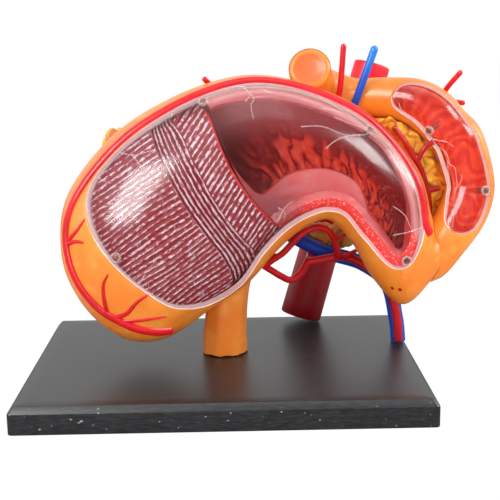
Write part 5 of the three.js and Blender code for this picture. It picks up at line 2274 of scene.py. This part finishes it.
@dataclass(frozen=True)
class Vessel:
    """One artery or vein: tubes joined into one skin.

    Attributes:
        name: The piece's name.
        node: The node that it replaces.
        slot: The record's slot for it.
        finish: Its finish.
        tubes: Radius of each tube, or its radii, and its points above the plate's top.
        voxel: Cell of the remeshing that fuses the tubes, or 0 where there is only one.
        footed: Whether its last end stands flat at the foot's level.
    """

    name: str
    node: str
    slot: Slot
    finish: GlossPaint | FadingPaint
    tubes: tuple[tuple[float | tuple[float, ...], Route], ...]
    voxel: float = 0.0
    footed: bool = False

    def build(self) -> None:
        """Builds the tubes and fuses them where there are several."""
        shape = {"sides": 24, "ends": 0.1} if self.footed else {}
        sheet = joined([tube(lifted(route), radius, **shape) for radius, route in self.tubes])
        if self.footed:
            sheet.points[:, 2] = np.maximum(sheet.points[:, 2], FOOT_LEVEL)
        piece = make_object(self.name, sheet)
        if self.voxel:
            fuse(piece, self.voxel, 3)
        dress(piece, Body.ORGAN, self.slot, material_of(self.finish), self.node)


# Radii of a twig, from its root to its tip, and radius of the finest vessels
TWIG = (0.8, 0.65)
FINE = 0.85
VESSELS = (
    Vessel(
        "celiac_vessels", "celiac_artery_tree", Slot.ARTERY, DARK_RED, voxel=0.3,
        tubes=(
            (1.6, ((27.6, 8, 28.2), (29.2, 18, 28.6), (33.6, 31.9, 28.6))),
            (1.4, (
                (27, 7.5, 28), (34, 7.5, 29.2), (39, 7.5, 29.6), (46.6, 7.5, 25.8), (51.6, 7.2, 20.4),
                (54.6, 7, 14.6), (56, 7, 8), (56.4, 7, 2),
            )),
            (1.1, (
                (27, 8, 28.6), (24.9, 6, 25.2), (21.4, 4, 23.1), (18.2, 3, 24.6), (15.1, 2, 26.8),
                (12.8, 0.5, 28.6),
            )),
            (1.05, (
                (12.8, 0.5, 28.6), (15.9, -0.3, 31), (18.6, -0.8, 32.9), (21.5, -1, 36),
                (24.4, -1, 38.8), (27.3, -1, 40.4), (29.7, -0.8, 40.9), (32.4, -0.2, 39.9),
                (34.3, 1.2, 37.3), (35.5, 3, 34.5), (36.4, 5.5, 30.4),
            )),
            (TWIG, ((16.6, -0.2, 31), (14, 0.6, 34.5))),
            (TWIG, ((22.6, -0.8, 36.6), (19.5, 0.2, 39.3))),
            (TWIG, ((34.6, 1.8, 36), (38.6, 2.4, 38))),
            (TWIG, ((38.6, 6, 30), (42, 3, 32.6))),
        ),
    ),
    Vessel(
        "portal_leg", "portal_vein", Slot.VEIN, BLUE, footed=True,
        tubes=((2.4, (
            (18, 20, 37), (24.9, 15, 33.8), (30.8, 14, 30.8), (36.4, 14, 28.8), (45.4, 13.5, 25.8),
            (53.2, 12, 19.4), (56.1, 11, 8), (57, 11, 0.3),
        )),),
    ),
    Vessel(
        "mesenteric_artery", "superior_mesenteric_artery", Slot.ARTERY, RED,
        tubes=((0.9, ((36.6, 10.5, 78.6), (37.3, 9, 84), (38.1, 9, 95.4))),),
    ),
    Vessel(
        "mesenteric_vein", "superior_mesenteric_vein", Slot.VEIN, AZURE,
        tubes=((1.2, ((41.4, 10.5, 76.6), (43.2, 9, 82), (47.6, 9, 94.4))),),
    ),
    Vessel(
        "gastroduodenal_branches", "gastroduodenal_artery", Slot.ARTERY, DARK_RED, voxel=0.25,
        tubes=(
            (FINE, (
                (53.6, 4.5, 70.6), (56.8, 4, 66.2), (59.6, 4, 61.8), (62.4, 4, 56.8), (64.6, 4, 49),
                (65.2, 4.4, 42.4),
            )),
            (FINE, ((60.6, 4, 60.2), (63, 3.6, 64.6), (66.4, 4.4, 66.6))),
            (FINE, ((64, 4, 51), (67.6, 4.4, 51.6))),
        ),
    ),
    Vessel(
        "lower_duodenal_branches", "lower_duodenal_artery", Slot.ARTERY, RED, voxel=0.25,
        tubes=(
            (FINE, ((64, 18.5, 66), (68.6, 18.3, 74.6), (71, 13.5, 81.6), (74.6, 10, 87))),
            (FINE, ((68.6, 18.3, 74.6), (74.2, 14.5, 77.4), (75.8, 10.5, 77.6))),
        ),
    ),
    Vessel(
        "splenic_vessel", "splenic_artery", Slot.ARTERY, DARK_RED,
        tubes=((FINE, (
            (30, 23.5, 30.5), (23, 27, 34), (12, 31, 38.5), (3, 32.5, 46), (-8, 33, 51),
            (-16, 31, 60), (-25, 27, 63.5), (-31, 22, 70),
        )),),
    ),
    Vessel(
        "short_gastric_nub", "short_gastric_artery", Slot.ARTERY, RED,
        tubes=((FINE, ((6, 18, 74), (0.5, 13.4, 80.4), (-3, 9, 84.4), (-4.6, 5.4, 86.2))),),
    ),
)


@dataclass(frozen=True)
class Aorta:
    """The aorta: a leaning, slightly tapered rod with eased ends.

    Attributes:
        foot: x and y of its foot's middle.
        lean: The way that it rises.
        radius: Its radius at the foot.
        top: Its radius at the top.
        length: Its length.
        clearance: Gap between its lowest edge and the plate.
    """

    foot: tuple[float, float] = (26.5, 35.5)
    lean: tuple[float, float, float] = (25.4, 9.0, 86.1)
    radius: float = 7.05
    top: float = 6.15
    length: float = 90.6
    clearance: float = 0.3

    def build(self) -> None:
        """Turns the rod on its leaning axis, with its lowest edge just above the plate."""
        way = unit(np.array(self.lean))
        radius, top, length = self.radius, self.top, self.length
        lift = self.clearance + radius * math.sqrt(1 - way[2] ** 2)
        foot = np.array([*self.foot, PLATE_TOP + lift])
        profile = [(radius * 0.5, 0.0), (radius - 0.35, 0.0), (radius, 0.35)]
        profile += [(radius + (top - radius) * s, length * s) for s in np.linspace(0.06, 0.94, 14)]
        profile += [
            (top, length - 0.6), (top - 0.15, length - 0.2), (top - 0.6, length),
            (top - 1.3, length - 0.1), (top - 1.6, length - 0.45), (top * 0.4, length - 0.55),
        ]
        sheet = turned(profile, foot, way, 64)
        sheet.values["along"] = np.clip((sheet.points - foot) @ way / length, 0, 1)
        piece = make_object("aorta_rod", sheet, 50.0)
        dress(piece, Body.AORTA, Slot.ARTERY, AORTA_RED.material(), "abdominal_aorta")


# Studio


def put(item: Piece, right: Array, up: Array, back: Array, spot: Array) -> None:
    """Places a lamp or a camera and links it to the scene.

    Args:
        item: The lamp or the camera.
        right: Its right side.
        up: Its upper side.
        back: The way from what it faces.
        spot: Where it stands, in metres.
    """
    pose = np.eye(4)
    pose[:3] = np.column_stack([right, up, back, spot])
    item.matrix_world = Matrix(pose.tolist())
    bpy.context.scene.collection.objects.link(item)


class Light(Enum):
    """What a lamp's light does."""

    BOTH = "lights surfaces and is mirrored"
    FILL = "lights surfaces only"
    CARD = "is mirrored only"


@dataclass(frozen=True)
class Lamp:
    """A square soft box, or a card that only gloss mirrors, that faces the model.

    Attributes:
        name: The lamp's name.
        azimuth: Degrees from the viewer's side towards +X.
        elevation: Degrees above the horizon.
        size: Width in metres.
        power: Its power in watts.
        kind: What its light does.
        far: Distance in metres.
        target: The model's middle, in metres.
    """

    name: str
    azimuth: float
    elevation: float
    size: float
    power: float
    kind: Light = Light.BOTH
    far: float = 0.9
    target: tuple[float, float, float] = (0.01, 0.0, 0.055)

    def build(self) -> None:
        """Makes the lamp, turned towards the model's middle."""
        a, e = math.radians(self.azimuth), math.radians(self.elevation)
        way = np.array([math.sin(a) * math.cos(e), -math.cos(a) * math.cos(e), math.sin(e)])
        data = bpy.data.lights.new(self.name, "AREA")
        data.shape, data.size, data.energy = "SQUARE", self.size, self.power
        lamp = bpy.data.objects.new(self.name, data)
        lamp.visible_diffuse = self.kind != Light.CARD
        lamp.visible_glossy = self.kind != Light.FILL
        right = unit(np.cross([0.0, 0.0, 1.0], way))
        put(lamp, right, np.cross(way, right), way, np.array(self.target) + way * self.far)


@dataclass(frozen=True)
class Studio:
    """A white sweep, soft boxes and the camera.

    Attributes:
        lens: The camera's focal length on a 36 mm frame.
        azimuth: Degrees that it looks to the right of +Y.
        elevation: Degrees that it looks down.
        roll: Degrees that it is turned about its axis.
        eye: Where it stands, in millimetres.
        ambient: Level of the light from all round.
        dark_front: How much of the world's front is missing in gloss.
        floor_glow: Brightness of the floor where the camera sees it lit.
        floor_plain: Share of the floor that shows the shadow instead.
        lamps: The lamps and cards.
    """

    lens: float = 72.04
    azimuth: float = 0.968
    elevation: float = 12.227
    roll: float = -0.750
    eye: tuple[float, float, float] = (3.280, -304.083, 107.796)
    ambient: float = 0.66
    dark_front: float = 0.95
    floor_glow: float = 1.05
    floor_plain: float = 0.12
    lamps: tuple[Lamp, ...] = (
        Lamp("left_box", -38, 38, 0.5, 2.2, Light.FILL),
        Lamp("right_box", 54, 34, 0.4, 1.5, Light.FILL),
        Lamp("top_box", 10, 74, 0.45, 1.2),
        Lamp("front_fill", 4, 4, 0.6, 2.6, Light.FILL),
        Lamp("left_rim", -98, 20, 0.5, 2.2, Light.FILL),
        Lamp("right_rim", 100, 20, 0.5, 2.2, Light.FILL),
        Lamp("side_card", 98, 24, 0.24, 2.4, Light.CARD),
        Lamp("left_card", -43, 32, 0.4, 8.5, Light.CARD),
        Lamp("right_card", 60, 36, 0.28, 4.5, Light.CARD),
    )

    def build(self) -> None:
        """Sets up the camera, the world, the floor and the lamps."""
        self._camera()
        self._world()
        self._floor()
        for lamp in self.lamps:
            lamp.build()
        bpy.context.scene.view_settings.view_transform = "Standard"

    def _camera(self) -> None:
        """The camera at the photograph's viewpoint, turned a little about its axis."""
        a, e, r = (math.radians(v) for v in (self.azimuth, self.elevation, self.roll))
        ahead = np.array([math.sin(a) * math.cos(e), math.cos(a) * math.cos(e), -math.sin(e)])
        right = np.array([math.cos(a), -math.sin(a), 0.0])
        up = np.cross(right, ahead)
        across = right * math.cos(r) + up * math.sin(r)
        above = -right * math.sin(r) + up * math.cos(r)
        data = bpy.data.cameras.new("camera")
        data.lens, data.sensor_width, data.sensor_fit = self.lens, 36.0, "AUTO"
        data.clip_start, data.clip_end = 0.01, 20.0
        camera = bpy.data.objects.new("camera", data)
        put(camera, across, above, -ahead, np.array(self.eye) * MM)
        bpy.context.scene.camera = camera

    def _world(self) -> None:
        """White for the camera, a plain soft light for surfaces, and a dark front for gloss.

        Formula: the strength is the ambient level, plus what is missing to 1 on camera
        and transmission rays, and on glossy rays 1 less the share of the dark front,
        which grows where y plus 0.9 z is low.
        """
        mix = Recipe("sweep", world=True)
        bpy.context.scene.world = mix.owner
        path = mix.add("LightPath").outputs
        seen = mix.count("MAXIMUM", path["Is Camera Ray"], path["Is Transmission Ray"])
        axes = mix.add("SeparateXYZ", {0: mix.add("TexCoord").outputs["Generated"]}).outputs
        lean = mix.count("MULTIPLY_ADD", axes["Z"], 0.9, axes["Y"])
        dark = mix.times(mix.span(lean, 0.45, -0.35), self.dark_front)
        missing = 1.0 - self.ambient
        mirrored = mix.count("SUBTRACT", missing, dark)
        plain = mix.count("MULTIPLY_ADD", seen, missing, self.ambient)
        strength = mix.count("MULTIPLY_ADD", path["Is Glossy Ray"], mirrored, plain)
        light = mix.out("Background", {"Color": WHITE, "Strength": strength})
        mix.add("OutputWorld", {"Surface": light})

    def _floor(self) -> None:
        """A white floor that shows a faint shadow, and is dark in gloss."""
        half = 3000.0
        corners = np.array([(-half, -half, 0), (half, -half, 0), (half, half, 0), (-half, half, 0)])
        floor = make_object("floor", Sheet(corners, [np.array([[0, 1, 2, 3]])]))
        mix = Recipe("white_floor")
        path = mix.add("LightPath").outputs
        tone = mix.blend(path["Is Glossy Ray"], (0.9, 0.9, 0.9), (0.25, 0.25, 0.25))
        plain = mix.out("BsdfDiffuse", {"Color": tone})
        white = mix.out("Emission", {"Color": WHITE, "Strength": self.floor_glow})
        seen = mix.count("MAXIMUM", path["Is Camera Ray"], path["Is Transmission Ray"])
        share = mix.times(seen, 1 - self.floor_plain)
        floor.data.materials.append(mix.done(mix.mixed(share, plain, white)))


STOMACH_LINES = (
    ((5.91, 332), (5.95, 321), (5.87, 314)),
    ((5.95, 321), (5.97, 316), (5.91, 310), (5.87, 300)),
    ((6.07, 330), (6.11, 325), (6.17, 321)),
    ((5.97, 317), (6.07, 318), (6.19, 318)),
    ((4.65, 326), (4.69, 319), (4.75, 314), (4.91, 309)),
    ((4.71, 318), (4.67, 308), (4.65, 300), (4.73, 296), (4.83, 289)),
    ((4.65, 300), (4.59, 294)),
    ((5.25, 326), (5.31, 331), (5.45, 331)),
    ((4.31, 325), (4.31, 320), (4.33, 314)),
    ((2.93, 276), (3.19, 274), (3.45, 271)),
    ((6.65, 280), (6.79, 290), (6.93, 298), (7.17, 310), (7.23, 319)),
    ((6.37, 293), (6.63, 298), (6.85, 298), (7.01, 301)),
    ((6.63, 316), (6.79, 320), (6.95, 322), (7.13, 318)),
    ((7.27, 319), (7.47, 324)),
    ((8.01, 276), (8.31, 283), (8.61, 285)),
    ((8.39, 260), (8.65, 284), (8.87, 305)),
    ((5.37, 236), (5.37, 229), (5.21, 224)),
    ((5.87, 333.5), (5.93, 330), (5.99, 328.5), (6.27, 328.5), (6.47, 330), (6.67, 331)),
    ((6.77, 312), (6.99, 313), (7.19, 316.5)),
    ((6.67, 330), (6.85, 324.5), (7.11, 320.5), (7.37, 319.5), (7.61, 324.5), (7.91, 331)),
    ((7.37, 319.5), (7.6, 316), (7.9, 316)),
    ((5.07, 226), (5.41, 232.5), (5.71, 236)),
)

DUODENUM_LINES = (
    ((7.08, -51), (6.57, -56), (5.82, -45), (5.61, -49), (5.46, -37), (5.07, -41), (3.54, -47), (2.40, -20)),
    ((4.20, -50), (4.86, -35), (5.25, -25)),
    ((6.99, -50), (6.57, -31), (6.03, -24)),
    ((5.70, -51), (5.31, -59), (3.87, -69), (2.70, -48)),
    ((9.39, -10), (9.12, -35), (8.40, -49), (7.56, -53)),
)


def stomach_core() -> Piece:
    """The stomach's solid, a hair larger than its skin, for trimming what meets it."""
    rib, turn = grid(np.linspace(0.02, 11, 120), np.arange(0, 360, 3.0))
    return make_object("core", skin_of_rings(STOMACH.point(rib, turn, 0.12)))


def main() -> None:
    """Loads the frame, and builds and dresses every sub-assembly."""
    logging.basicConfig(level=logging.INFO, format="%(name)s %(message)s")
    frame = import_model()
    orange = ORANGE.material()
    looks = {
        "clear": ClearPlastic().material(),
        "relief": RELIEF_CLEAR.material(),
        "edge": EDGE_HIGHLIGHT.material(),
        "peg": ClearPeg().material(),
    }
    Studio().build()
    Plate().build()
    core = stomach_core()
    StomachShells().build(orange)
    GastricLining().build()
    MuscleLayers().build()
    ArteryBand().build()
    Esophagus().build(core, orange)
    DuodenumShells().build(core, orange)
    WindowPane(
        label="stomach",
        opening=STOMACH_OPENING,
        body=Body.STOMACH_PANE,
        node="stomach_window",
        peg_nodes=[f"stomach_window_pin_{n}" for n in (1, 2, 3, 4)],
        peg_places=[(3.35, 292), (5.55, 327), (7.23, 321), (9.1, 263)],
        lines=STOMACH_LINES,
        pale_edge=(0.1, 0.72),
        looks=looks,
    ).build()
    WindowPane(
        label="duodenum",
        opening=DUODENUM_OPENING,
        body=Body.DUODENUM_PANE,
        node="duodenum_window",
        peg_nodes=[f"duodenum_window_pin_{n}" for n in (1, 2)],
        peg_places=[(7.36, -44), (4.52, 26)],
        lines=DUODENUM_LINES,
        thickness=1.2,
        pale_edge=(0.0, 0.5),
        looks=looks,
    ).build()
    Pancreas().build(frame["nodes"]["pancreas"])
    for vessel in VESSELS:
        vessel.build()
    Aorta().build()
    bpy.data.objects.remove(core, do_unlink=True)
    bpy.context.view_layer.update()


if __name__ == "__main__":
    main()
